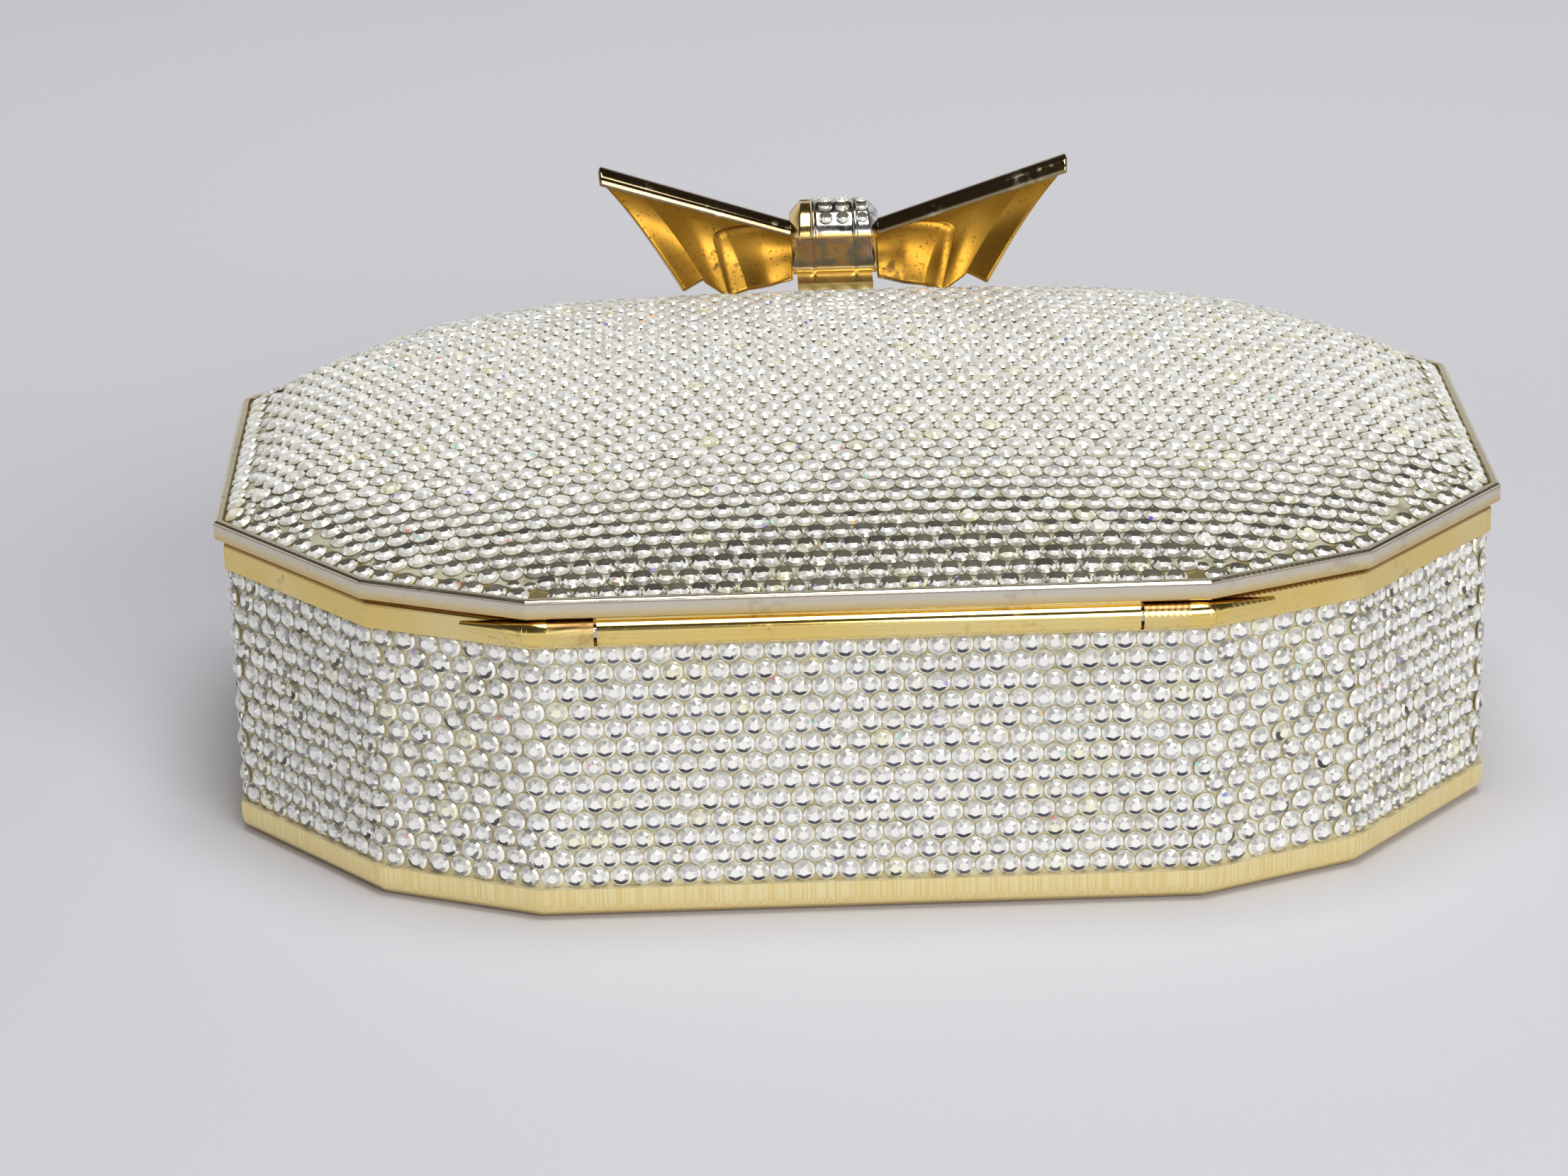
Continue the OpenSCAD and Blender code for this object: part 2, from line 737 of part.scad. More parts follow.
// Stones of the knot: two columns round the middle panel, and one round the strip on each side
gem_d = 1.9;
gem_h = 0.75;
gem_pitch = 2.3;
gem_turn = 21;
gem_first = 49;
gem_last = 205;
chip_d = 1.4;
chip_h = 0.55;
strip_x = panel_half + ridge_w + chip_d / 2 + run_gap;
// Angle from which each strip carries stones; the left one is bare where it faces the hinge
strip_firsts = [112, 49];
module bow_knot_stones() color("white") {
    for (a = [gem_first:gem_turn:gem_last])
        for (x = [-gem_pitch / 2, gem_pitch / 2])
            translate([x, knot_y, knot_z])
                rotate([90 - a, 0, 0])
                    translate([0, 0, knot_r + glue])
                        stone(gem_d, gem_h);
    for (s = [0, 1])
        for (a = [strip_firsts[s]:gem_turn:gem_last])
            translate([(2 * s - 1) * strip_x, knot_y, knot_z])
                rotate([90 - a, 0, 0])
                    translate([0, 0, knot_r + glue])
                        stone(chip_d, chip_h);
}

// Wing of the bow: a ribbon loop whose top edge rolls back towards the lid, over an open back.
// Each section runs from the rolled lip over the top and down the front to the bottom edge.
roll_r = 1.9;
tip_roll_r = 2.3;
wing_root = knot_half + run_gap;
wing_tip = bow_width / 2;
low_tip_share = 0.66;
// How far the wing's top edge rises above the knot's middle, at the root and at the tip
root_rise = 3;
tip_rise = 11.6;
root_top = knot_z + root_rise;
tip_top = knot_z + tip_rise;
// How far its bottom edge falls below it, at the root, at the inner fold and at the tip
root_fall = 5.2;
fold_fall = 7.3;
tip_fall = 6.2;
root_low = knot_z - root_fall;
fold_low = knot_z - fold_fall;
tip_low = knot_z - tip_fall;
roll_back = 1.6;
wing_y = knot_y - roll_back;
bulge = 4.6;
low_back = 2.4;
low_y = knot_y - low_back;
roll_from = 5;
roll_to = 125;
roll_share = 0.38;
bulge_share = 0.45;
// Folds fan out from the knot: the share along the wing at which the inner one stands forward,
// the share from one fold to the next, and their depth at the bottom edge
fold_share = 0.6;
fold_step_share = 0.4;
fold = 1.1;
// How far the bottom edge is cut up between the two outer folds
notch = 1.4;
wing_cols = 20;
wing_rows = 16;

function bezier(a, b, c, t) = a * pow(1 - t, 2) + b * 2 * t * (1 - t) + c * pow(t, 2);
function fan(u) = cos(360 * (u - fold_share) / fold_step_share);
function low_edge(u) = u < fold_share ? mix(root_low, fold_low, u / fold_share)
    : mix(fold_low, tip_low, (u - fold_share) / (1 - fold_share)) + notch * (1 - fan(u)) / 2;
// Section point [y, z] at share u out along the wing and share v round the section
function wing_yz(u, v) =
    let (r = mix(roll_r, tip_roll_r, u),
        top = mix(root_top, tip_top, u),
        low = low_edge(u),
        c = [wing_y, top - r],
        a = mix(roll_from, roll_to, min(v / roll_share, 1)),
        arc = c + r * [-cos(a), sin(a)],
        t = max(0, (v - roll_share) / (1 - roll_share)),
        out = c + r * [-cos(roll_to), sin(roll_to)],
        hold = [wing_y + bulge, mix(top, low, bulge_share)])
    v < roll_share ? arc : bezier(out, hold, [low_y, low], t) - [fold * fan(u) * u * t, 0];
// The tip's edge leans in from the height of the roll's lip down to the bottom edge
lip_z = wing_yz(1, 0)[1];
function wing_x(u, v) =
    let (down = max(0, (lip_z - wing_yz(1, v)[1]) / (lip_z - tip_low)))
    mix(wing_root, mix(wing_tip, wing_tip * low_tip_share, down), u);
function wing_in(u, v) =
    let (e = 0.01,
        d = wing_yz(u, min(v + e, 1)) - wing_yz(u, max(v - e, 0)),
        n = [d[1], -d[0]] / norm(d))
    wing_yz(u, v) + n * bow_t;

module wing()
    let (w = wing_rows + 1, c = wing_cols,
        outer = [for (i = [0:c]) for (j = [0:wing_rows]) let (u = i / c, v = j / wing_rows,
            p = wing_yz(u, v)) [wing_x(u, v), p[0], p[1]]],
        inner = [for (i = [0:c]) for (j = [0:wing_rows]) let (u = i / c, v = j / wing_rows,
            p = wing_in(u, v)) [wing_x(u, v), p[0], p[1]]],
        m = (c + 1) * w,
        faces = concat(
            [for (i = [0:c - 1]) for (j = [0:wing_rows - 1]) for (f = [
                [i * w + j, (i + 1) * w + j + 1, (i + 1) * w + j],
                [i * w + j, i * w + j + 1, (i + 1) * w + j + 1],
                [m + i * w + j, m + (i + 1) * w + j, m + (i + 1) * w + j + 1],
                [m + i * w + j, m + (i + 1) * w + j + 1, m + i * w + j + 1]]) f],
            [for (i = [0:c - 1]) for (f = [
                [i * w, (i + 1) * w, m + (i + 1) * w], [i * w, m + (i + 1) * w, m + i * w],
                [i * w + w - 1, m + i * w + w - 1, m + (i + 1) * w + w - 1],
                [i * w + w - 1, m + (i + 1) * w + w - 1, (i + 1) * w + w - 1]]) f],
            [for (j = [0:wing_rows - 1]) for (f = [
                [j, m + j, m + j + 1], [j, m + j + 1, j + 1],
                [c * w + j, m + c * w + j + 1, m + c * w + j],
                [c * w + j, c * w + j + 1, m + c * w + j + 1]]) f]))
    polyhedron(concat(outer, inner), faces);

module bow_right_wing() color("gold")
    wing();

module bow_left_wing() color("gold")
    mirror([1, 0, 0])
        wing();

base_shell();
base_frame();
base_stones_hinge_side();
base_stones_clasp_side();
base_stones_left();
base_stones_right();
base_lining();
hinge_pin();
clasp_bracket();
clasp_pin();
catch_spring();
catch_rivets();
lid_shell();
lid_rim();
lid_hinge_knuckle();
lid_border_stones();
lid_stones_hinge_left();
lid_stones_hinge_right();
lid_stones_clasp_left();
lid_stones_clasp_right();
lid_lining();
lid_tongue();
clasp_lever();
bow_left_wing();
bow_right_wing();
bow_knot();
bow_knot_stones();
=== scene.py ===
# %% [markdown]
# # A crystal evening case with a bow clasp
# The case is a gold-plated metal box with twelve sides. About four thousand flat-backed crystals
# are glued on it, and a cast bow at the far side works its clasp. The solids of the box, the hinge
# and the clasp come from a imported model. This lesson gives them their finishes, cuts facets into
# the crystals, casts the bow, lines the inside with leather, and lights it all.
#
# Everything is in metres: X runs along the case, the hinge faces -Y, the bow is at +Y, Z is up.

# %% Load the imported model
import json
import math

import bmesh
import bpy
import numpy as np
from mathutils import Matrix, Vector

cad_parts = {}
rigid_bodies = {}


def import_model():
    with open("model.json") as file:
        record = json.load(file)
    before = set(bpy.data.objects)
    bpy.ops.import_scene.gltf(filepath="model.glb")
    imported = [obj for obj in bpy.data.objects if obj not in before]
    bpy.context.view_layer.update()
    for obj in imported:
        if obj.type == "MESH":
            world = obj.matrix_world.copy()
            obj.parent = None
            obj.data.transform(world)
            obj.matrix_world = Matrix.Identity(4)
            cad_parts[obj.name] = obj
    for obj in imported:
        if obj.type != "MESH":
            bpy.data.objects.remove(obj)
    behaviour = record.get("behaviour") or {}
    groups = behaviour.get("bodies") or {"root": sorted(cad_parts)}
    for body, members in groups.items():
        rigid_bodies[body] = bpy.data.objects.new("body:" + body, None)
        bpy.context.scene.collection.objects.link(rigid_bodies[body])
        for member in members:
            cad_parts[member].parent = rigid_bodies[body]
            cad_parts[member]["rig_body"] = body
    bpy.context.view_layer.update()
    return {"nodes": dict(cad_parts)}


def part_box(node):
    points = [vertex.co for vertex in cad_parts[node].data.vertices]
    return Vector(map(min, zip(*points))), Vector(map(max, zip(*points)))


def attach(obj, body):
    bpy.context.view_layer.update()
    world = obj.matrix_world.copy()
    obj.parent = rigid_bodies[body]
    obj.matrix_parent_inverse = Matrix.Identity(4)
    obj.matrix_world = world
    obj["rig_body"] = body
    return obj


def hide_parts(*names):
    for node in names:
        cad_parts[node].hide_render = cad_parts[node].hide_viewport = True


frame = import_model()
MM = 0.001
nodes = frame["nodes"]

# %% [markdown]
# ## The camera
# The photograph looks down on the hinge side from 22 degrees above, with a long lens and a slight
# roll. A long lens keeps the two ends of the case almost the same size. The aim, distance and lens
# were worked out from the corners of the rim and the band.

# %% Camera
PHOTO_WIDTH = 2212
LENS_PIXELS = 6711.63
SENSOR = 36.0
AZIMUTH, ELEVATION, ROLL = (math.radians(a) for a in (-0.99, 22.01, -1.36))
AIM = Vector((-8.98, 0.0, 21.95)) * MM
DISTANCE = 611.2 * MM

back = Vector((math.sin(AZIMUTH) * math.cos(ELEVATION),
               -math.cos(AZIMUTH) * math.cos(ELEVATION), math.sin(ELEVATION)))
camera = bpy.data.objects.new("camera", bpy.data.cameras.new("camera"))
camera.data.sensor_width = SENSOR
camera.data.lens = SENSOR * LENS_PIXELS / PHOTO_WIDTH
camera.data.clip_start, camera.data.clip_end = 0.01, 50
camera.location = AIM + back * DISTANCE
camera.rotation_mode = "QUATERNION"
camera.rotation_quaternion = (-back).to_track_quat("-Z", "Y") @ Matrix.Rotation(
    ROLL, 3, "Z").to_quaternion()
scene = bpy.context.scene
scene.collection.objects.link(camera)
scene.camera = camera
scene.view_settings.view_transform = "Standard"
print("lens", round(camera.data.lens, 1), "mm at", round(DISTANCE, 3), "m")

# %% [markdown]
# ## Shader arithmetic
# A finish is mostly sums: a cloud of tarnish times a colour, a scratch added to a roughness. To
# write them as sums, this class wraps an output socket and gives it the usual operators. Each one
# adds a Math node. All other nodes come from one method of the material's own class.

# %% Class for a value on the surface
class Value:
    """One output socket. Its operators add Math nodes, so mask * 0.5 + 0.2 is written as such."""

    def __init__(self, finish, socket):
        self.finish, self.socket = finish, socket

    def math(self, operation, *others):
        return self.finish.node("ShaderNodeMath", {"operation": operation},
                                dict(enumerate((self, *others))))

    def __add__(self, other):
        return self.math("ADD", other)

    def __sub__(self, other):
        return self.math("SUBTRACT", other)

    def __rsub__(self, other):
        return (self * -1) + other

    def __mul__(self, other):
        return self.math("MULTIPLY", other)

    __radd__, __rmul__ = __add__, __mul__

    def above(self, low, high):
        """0 below low, 1 above high, and a smooth step between them."""
        return self.finish.node("ShaderNodeMapRange", {"interpolation_type": "SMOOTHSTEP"},
                                {"Value": self, "From Min": low, "From Max": high})


# %% Class for a finish
class Finish:
    """A Principled material. node() makes any node, and shade() sets what varies over the surface."""

    def __init__(self, name, colour, roughness, metallic=0.0, **constants):
        self.material = bpy.data.materials.new(name)
        self.material.use_nodes = True
        self.tree = self.material.node_tree
        self.bsdf = self.tree.nodes["Principled BSDF"]
        self.bsdf.inputs["Base Color"].default_value = (*colour, 1)
        self.bsdf.inputs["Roughness"].default_value = roughness
        self.bsdf.inputs["Metallic"].default_value = metallic
        for key, value in constants.items():
            self.socket(key).default_value = value
        self.place = Value(self, self.tree.nodes.new("ShaderNodeTexCoord").outputs["Object"])

    def socket(self, key):
        """The shader's input for a keyword, such as Base Color for base_color."""
        return self.bsdf.inputs["IOR" if key == "ior" else key.replace("_", " ").title()]

    def node(self, kind, settings, sockets, output=0):
        """A node with its settings, and its inputs given as numbers or as Values to link."""
        made = self.tree.nodes.new(kind)
        for key, value in settings.items():
            if key == "stops":
                for stop, (at, colour) in zip(ramp_stops(made.color_ramp, len(value)), value):
                    stop.position, stop.color = at, (*colour, 1)
            else:
                setattr(made, key, value)
        for key, value in sockets.items():
            if isinstance(value, Value):
                self.tree.links.new(value.socket, made.inputs[key])
            else:
                made.inputs[key].default_value = value
        return Value(self, made.outputs[output])

    def noise(self, scale, detail=2.0, stretch=(1, 1, 1), turn=0.0):
        """Cloudy values round 0.5, with scale waves to a metre, drawn out along each axis."""
        at = self.node("ShaderNodeMapping", {}, {"Vector": self.place, "Scale": stretch,
                                                 "Rotation": (0, 0, turn)})
        return self.node("ShaderNodeTexNoise", {}, {"Vector": at, "Scale": scale, "Detail": detail})

    def along(self, axis):
        """The place along X, Y or Z, for axis 0, 1 or 2, in metres."""
        return self.node("ShaderNodeSeparateXYZ", {}, {"Vector": self.place}, axis)

    def mix(self, share, first, second):
        """Colour between first and second. Each may be three numbers or a colour Value."""
        pair = [c if isinstance(c, Value) else (*c, 1) for c in (first, second)]
        return self.node("ShaderNodeMix", {"data_type": "RGBA", "clamp_factor": True},
                         {0: share, 6: pair[0], 7: pair[1]}, 2)

    def shade(self, **values):
        """Links each Value to the shader's input of that name."""
        for key, value in values.items():
            self.tree.links.new(value.socket, self.socket(key))

    def bump(self, height, depth):
        """Raises the surface by height times depth, in metres, through the Normal socket."""
        normal = self.node("ShaderNodeBump", {}, {"Height": height, "Distance": depth})
        self.tree.links.new(normal.socket, self.bsdf.inputs["Normal"])


def ramp_stops(ramp, count):
    """A colour ramp's stops, after adding those that it lacks."""
    while len(ramp.elements) < count:
        ramp.elements.new(1.0)
    return ramp.elements


print("shader arithmetic is ready")

# %% [markdown]
# ## Gold plate
# The plate isn't one colour. It is paler where it is worn, browner where it is tarnished, and it
# shows the fine arcs of the polishing wheel. One function makes every gold finish, with the base
# colour, the wear, the arcs and the tarnish as arguments. The arcs are rings round a far centre,
# bent by noise, and they feed the roughness and a very low bump.

# %% Gold finishes
PLATE_RELIEF = 0.012 * MM
SHADE_FADE = 0.4 * MM
NOWHERE = 9.0
ARC_CENTRE, ARCS_TO_A_METRE = (0.03, 0.06, 0.02), 560
BAND_SHARE = 0.8


def gold(name, colour, worn, brown, roughness, arcs=0.0, tarnish=0.0, pits=0.0,
         shade_from=NOWHERE, bands=None):
    """Gold plate: colour mixed with worn by large clouds, and with brown where tarnish gathers.

    Above the height from which the shade starts, in metres, it is brown all over: painted shade, as in
    the gap under the lid's rim.
    bands gives a lowest and a highest height, and the colours between them: painted reflections.
    """
    f = Finish(name, colour, roughness, 1.0)
    cloud = f.noise(45, 3).above(0.35, 0.7)
    stain = (f.noise(160, 5) * 0.6 + f.noise(900, 3) * 0.4).above(0.56, 0.68)
    specks = f.noise(2600, 2).above(0.66, 0.72)
    tone = f.mix(cloud, colour, worn)
    height = f.along(2)
    # painted shade: brown all over above a given height
    painted_shade = height.above(shade_from, shade_from + SHADE_FADE)
    if bands:
        low, high, stops = bands
        share = (height - low) * (1 / (high - low))
        # painted reflections, as bands of colour by height
        tone = f.mix(BAND_SHARE, tone, f.node("ShaderNodeValToRGB", {"stops": stops}, {"Fac": share}))
    f.shade(base_color=f.mix(stain * tarnish + specks * tarnish * 0.6 + painted_shade, tone, brown))
    hair = f.noise(900, 2, stretch=(0.25, 1, 6), turn=0.4)
    turned = f.node("ShaderNodeMapping", {}, {"Vector": f.place, "Location": ARC_CENTRE})
    rings = f.node("ShaderNodeTexWave", {"wave_type": "RINGS", "rings_direction": "SPHERICAL"},
                   {"Vector": turned, "Scale": ARCS_TO_A_METRE, "Distortion": 1.5, "Detail": 1,
                    "Detail Scale": 0.3}, 1)
    patch = f.noise(70, 2).above(0.42, 0.6)
    f.shade(roughness=hair * 0.06 + rings * patch * arcs * 0.1 + stain * tarnish * 0.3
            + (roughness - 0.03))
    f.bump(hair * 0.12 + rings * patch * arcs * 0.4 + f.noise(260, 2) * 0.7 + specks * pits * -6,
           PLATE_RELIEF)
    return f.material


polished = gold("polished_gold", (0.93, 0.68, 0.2), (0.95, 0.77, 0.33), (0.34, 0.2, 0.06), 0.11,
                tarnish=0.35)
satin = gold("satin_gold", (0.87, 0.66, 0.23), (0.9, 0.74, 0.36), (0.36, 0.23, 0.08), 0.2, 0.9, 0.4)
print("gold finishes:", polished.name, satin.name)

# %% [markdown]
# The lid's rim is pale gold, with painted reflections in bands by height on it: gold below, the
# pale floor above on the side, a painted dark line in the corner under its top, and a cream painted
# highlight on the top. A colour ramp between the lowest and the highest point of the rim gives them.

# %% Gold of the rim
rim_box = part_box("lid_rim")
# Painted reflections and highlight on the rim, from its foot to its top.
RIM_PAINTED_REFLECTIONS = ((0.0, (0.6, 0.4, 0.12)), (0.3, (0.76, 0.6, 0.3)), (0.5, (0.76, 0.68, 0.52)),
            (0.78, (0.72, 0.67, 0.62)), (0.85, (0.3, 0.24, 0.2)), (0.91, (0.86, 0.8, 0.66)),
            (1.0, (0.8, 0.72, 0.5)))
pale = gold("pale_gold", (0.78, 0.66, 0.38), (0.8, 0.73, 0.56), (0.4, 0.3, 0.16), 0.2, 0.8, 0.35,
            bands=(rim_box[0].z, rim_box[1].z, RIM_PAINTED_REFLECTIONS))
print("the rim is", round((rim_box[1].z - rim_box[0].z) / MM, 2), "mm high, in", pale.name)

# %% [markdown]
# ## Where each crystal lies
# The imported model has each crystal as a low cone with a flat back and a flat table. The facets are
# cut onto those places. One node holds hundreds of cones as loose triangles, so the first job is to
# tell them apart. Triangles that share a corner belong together: each corner starts with its own
# number, and the lowest number spreads over the triangles until nothing changes.

# %% Find separate solids in a node
SAME_PLACE = 0.002 * MM


def corners_and_triangles(node):
    """A node's merged corners (n, 3), and its triangles as rows of three corner numbers."""
    mesh = nodes[node].data
    co = np.empty(len(mesh.vertices) * 3, np.float32)
    mesh.vertices.foreach_get("co", co)
    mesh.calc_loop_triangles()
    tri = np.empty(len(mesh.loop_triangles) * 3, np.int32)
    mesh.loop_triangles.foreach_get("vertices", tri)
    _, first, same = np.unique(np.round(co.reshape(-1, 3) / SAME_PLACE).astype(np.int64), axis=0,
                               return_index=True, return_inverse=True)
    return co.reshape(-1, 3)[first].astype(float), same.reshape(-1)[tri].reshape(-1, 3)


def islands(count, tri):
    """The number of the solid that each of count corners belongs to, from 0 up."""
    label = np.arange(count)
    while True:
        low = label[tri].min(1)
        new = label.copy()
        np.minimum.at(new, tri.ravel(), np.repeat(low, 3))
        new = new[new]
        if (new == label).all():
            return np.unique(label, return_inverse=True)[1].reshape(-1)
        label = new


def seats(node):
    """Each cone's place on the metal, its axis, its radius and its height, as arrays.

    The axis is the direction in which a cone's corners spread least, pointed from the wide end to
    the narrow one.
    """
    co, tri = corners_and_triangles(node)
    part = islands(len(co), tri)
    count = part.max() + 1
    size = np.bincount(part).astype(float)
    middle = np.stack([np.bincount(part, co[:, k]) / size for k in range(3)], 1)
    arm = co - middle[part]
    spread = np.stack([np.bincount(part, arm[:, i] * arm[:, j])
                       for i in range(3) for j in range(3)], 1)
    axis = np.linalg.eigh(spread.reshape(-1, 3, 3))[1][:, :, 0]
    along = (arm * axis[part]).sum(1)
    across = np.linalg.norm(arm - along[:, None] * axis[part], axis=1)
    lean = np.bincount(part, along * across)
    axis *= -np.sign(lean)[:, None]
    along = (arm * axis[part]).sum(1)
    low, high, wide = np.zeros(count), np.zeros(count), np.zeros(count)
    np.minimum.at(low, part, along)
    np.maximum.at(high, part, along)
    np.maximum.at(wide, part, across)
    return middle + axis * low[:, None], axis, wide, high - low


print("one group of crystals:", len(seats("base_stones_left")[0]))

# %% [markdown]
# ## The cut of a crystal
# A flat-backed crystal has an eight-sided table, a ring of eight large and eight small facets round
# it, a ring of sixteen steep ones outside them, and a narrow girdle. That is four rings of points:
# sixteen on the back, sixteen on the girdle, sixteen where the two rings of facets meet, and eight
# round the table. The table is cut in two here, because its lower corner often shows other light.

# %% Cut
CUT = 8
BACK_SHARE, TABLE_SHARE, BREAK_SHARE = 0.97, 0.42, 0.77
GIRDLE_SHARE, BREAK_HEIGHT = 0.26, 0.66
ring16 = np.arange(2 * CUT) * math.pi / CUT
ring8 = np.arange(CUT) * 2 * math.pi / CUT
BACK, GIRDLE, STEEP, KITE, SMALL, TABLE_UP, TABLE_DOWN = range(7)


def cut_points():
    """Points of one crystal of radius 1 and height 1: back, girdle, break and table rings."""
    wide = np.stack([np.cos(ring16), np.sin(ring16)], 1)
    table = np.stack([np.cos(ring8), np.sin(ring8)], 1) * TABLE_SHARE
    return np.concatenate([
        np.column_stack([wide * BACK_SHARE, np.zeros(2 * CUT)]),
        np.column_stack([wide, np.full(2 * CUT, GIRDLE_SHARE)]),
        np.column_stack([wide * BREAK_SHARE, np.full(2 * CUT, BREAK_HEIGHT)]),
        np.column_stack([table, np.ones(CUT)])])


def cut_faces():
    """Faces of one crystal with, for each, its kind and the angle that it faces."""
    n, g, b, t = 2 * CUT, 2 * CUT, 4 * CUT, 6 * CUT
    faces = [(tuple(range(n - 1, -1, -1)), BACK, 0)]
    half = math.pi / n
    for i in range(n):
        k = (i + 1) % n
        faces.append(((i, k, g + k, g + i), GIRDLE, ring16[i] + half))
        faces.append(((g + i, g + k, b + k, b + i), STEEP, ring16[i] + half))
    for i in range(CUT):
        k = (i + 1) % CUT
        faces.append(((b + (2 * i - 1) % n, b + 2 * i, b + (2 * i + 1) % n, t + i), KITE, ring8[i]))
        faces.append(((b + (2 * i + 1) % n, t + k, t + i), SMALL, ring8[i] + 2 * half))
    faces.append((tuple(t + i % CUT for i in range(-1, CUT // 2 + 2)), TABLE_UP, math.pi / 2))
    faces.append((tuple(t + i for i in range(CUT // 2 + 1, CUT)), TABLE_DOWN, -math.pi / 2))
    return [f[0] for f in faces], np.array([f[1] for f in faces]), np.array([f[2] for f in faces])


UNIT, (FACES, KINDS, FACING) = cut_points(), cut_faces()
INNER, OUTER = (KINDS == KITE) | (KINDS == SMALL), KINDS == STEEP
TABLE, LOWEST = KINDS >= TABLE_UP, KINDS <= GIRDLE
print("one crystal has", len(UNIT), "points and", len(FACES), "faces")

# %% [markdown]
# ## The look of foil-backed glass
# Light enters a flat-backed crystal through one facet, is turned back by the foil and leaves by
# another, so neighbouring facets show quite different brightness. Tracing that for four thousand
# crystals is slow and full of noise. Each facet gets painted light instead, kept as a colour on the
# face: painted near white on most, a painted dark reflection of the dark ground on a few, and now
# and then a painted spark of blue, red or green. The tone is fixed to the crystal, so it holds from
# every side.
#
# How a crystal lies decides what it shows, so that comes first: whether it is on a wall or on the
# dome, how far the dome slopes toward the hinge there, and how far a wall is turned to an end.

# %% How a crystal lies
WALL_FROM, ASIDE_FROM = (0.75, 0.9), (0.2, 0.7)
CALM_END = 0.4


def step(value, low, high):
    """0 below low, 1 above high, straight between them."""
    return np.clip((value - low) / (high - low), 0, 1)


def mix(a, b, share):
    """a where the share is 0, b where it is 1, straight between them."""
    return a * (1 - share) + b * share


def lie(axis):
    """Three columns from the crystals' axes: on a wall, slope toward the hinge, turned to an end.

    The first is 1 on a wall and 0 on the dome. The last is less at the end +X, which looks calmer.
    """
    tilt = np.sqrt(np.clip(1 - axis[:, 2] ** 2, 0, 1))
    wall = step(tilt, *WALL_FROM)[:, None]
    toward = -axis[:, 1:2] * (1 - wall)
    aside = step(np.abs(axis[:, :1]), *ASIDE_FROM) * (1 - CALM_END * (axis[:, :1] > 0))
    return wall, toward, aside


print("a crystal tilted less than", round(math.degrees(math.asin(WALL_FROM[0]))),
      "degrees from upright is on the dome")

# %% [markdown]
# Most facets get painted light. Their greys differ at random, the table gets the brightest painted
# highlight, the upper facets on a wall a little painted shade, and some outer facets that face
# sideways painted white glints. The other outer facets let the colour of the old glue through, most
# of all near the girdle.

# %% Light facets
GLASS_GREY = np.array([1.0, 0.995, 0.955])
DOME_RIM, WALL_RIM = np.array([0.55, 0.52, 0.36]), np.array([0.88, 0.84, 0.62])
UPPER_DIM, GIRDLE_DIM, WALL_CLEAR = 0.18, 0.4, 0.4


def light_tones(wall, up, random):
    """Tones before any facet is dark, (crystals, faces, 3).

    light is a painted random grey, with painted shade on the upper facets of a wall. Some of the outer
    facets that face sideways get painted white glints. The rest of them, and the girdle, go over to the
    colour of the rim.
    """
    light = random.uniform(0.6, 1.0, up.shape)
    # painted shade on the upper facets of a wall
    light -= UPPER_DIM * (INNER | OUTER) * step(up, -0.1, 0.6) * wall
    # painted highlight: the table is the brightest
    light[:, TABLE] = random.uniform(0.93, 1.0, (len(up), 1))
    # painted white glints on some outer facets that face sideways
    bright = OUTER & (np.abs(up + 0.15) < 0.6) & (random.random(up.shape) < 0.5 + 0.3 * wall)
    light[bright] = 1.0
    glassy = OUTER * (1 - bright) * random.uniform(0.1, 0.8, up.shape) * (1 - WALL_CLEAR * wall)
    glassy = np.maximum(glassy, LOWEST)[:, :, None]
    rim = mix(DOME_RIM, WALL_RIM, wall[:, :, None]) * (1 - GIRDLE_DIM * LOWEST)[:, None]
    return mix(light[:, :, None] * GLASS_GREY, rim, glassy)


print("each crystal has", INNER.sum() + OUTER.sum() + TABLE.sum(), "facets over its girdle")

# %% [markdown]
# Dark facets are painted dark reflections, and they make a crystal look cut. On the straight walls
# they form a crescent below the table. On the dome they lie above it: most of the crystal in the
# first rows over the hinge, a thin arc further up, and little on the crown. On the slanted walls and
# at the ends they come in small groups that face down or to one side. Each case gives a share of dark.

# %% Dark facets
FIRST_ROWS, NEXT_ROWS = (0.23, 0.27), (0.1, 0.2)
CORNER_FROM, FLANK_FROM = (0.05, 0.13), (0.06, 0.16)
ARC_WIDTH = 0.12


def dark_on_dome(axis, wall, toward, up, luck, random):
    """Share of painted dark reflection on the dome, from the slope toward the hinge and the facet's
    direction.

    close is 1 in the first rows over the hinge, near in the next ones, and flank at the two ends.
    The arc covers the facets that face up more than reach. The cap adds the table, and in the
    first rows the inner facets too, except the lowest. The foot is some of the low outer ones.
    """
    sideways = np.abs(axis[:, :1])
    close = step(toward, *FIRST_ROWS) * (luck > 0.4 - 0.6 * step(toward, 0.24, 0.29))
    close *= luck > step(sideways, *CORNER_FROM)
    near = step(toward, *NEXT_ROWS) * (luck > 0.3 - 0.5 * step(toward, 0.15, 0.22))
    flank = step(sideways, *FLANK_FROM) * (1 - wall)
    slope = toward + 0.1 * flank
    reach = 0.86 - 0.3 * step(toward + 0.12 * flank, 0.1, 0.2) - 0.5 * near
    arc = (INNER | OUTER) * step(up, reach, reach + ARC_WIDTH)
    arc = arc * (0.35 + 0.65 * step(slope, -0.05, 0.12))
    arc *= (INNER | (luck > 0.3)) * (OUTER | (slope > 0.12) | (luck > 0.7))
    upper_table = KINDS == TABLE_UP
    cap = np.maximum(upper_table * near * (luck > 0.1), (upper_table | (INNER & (up > -0.45))) * close)
    foot = OUTER * (up < -0.3) * close * (random.random(up.shape) < 0.5) * 0.7
    return np.maximum(np.maximum(arc * (1 - wall), cap), foot)


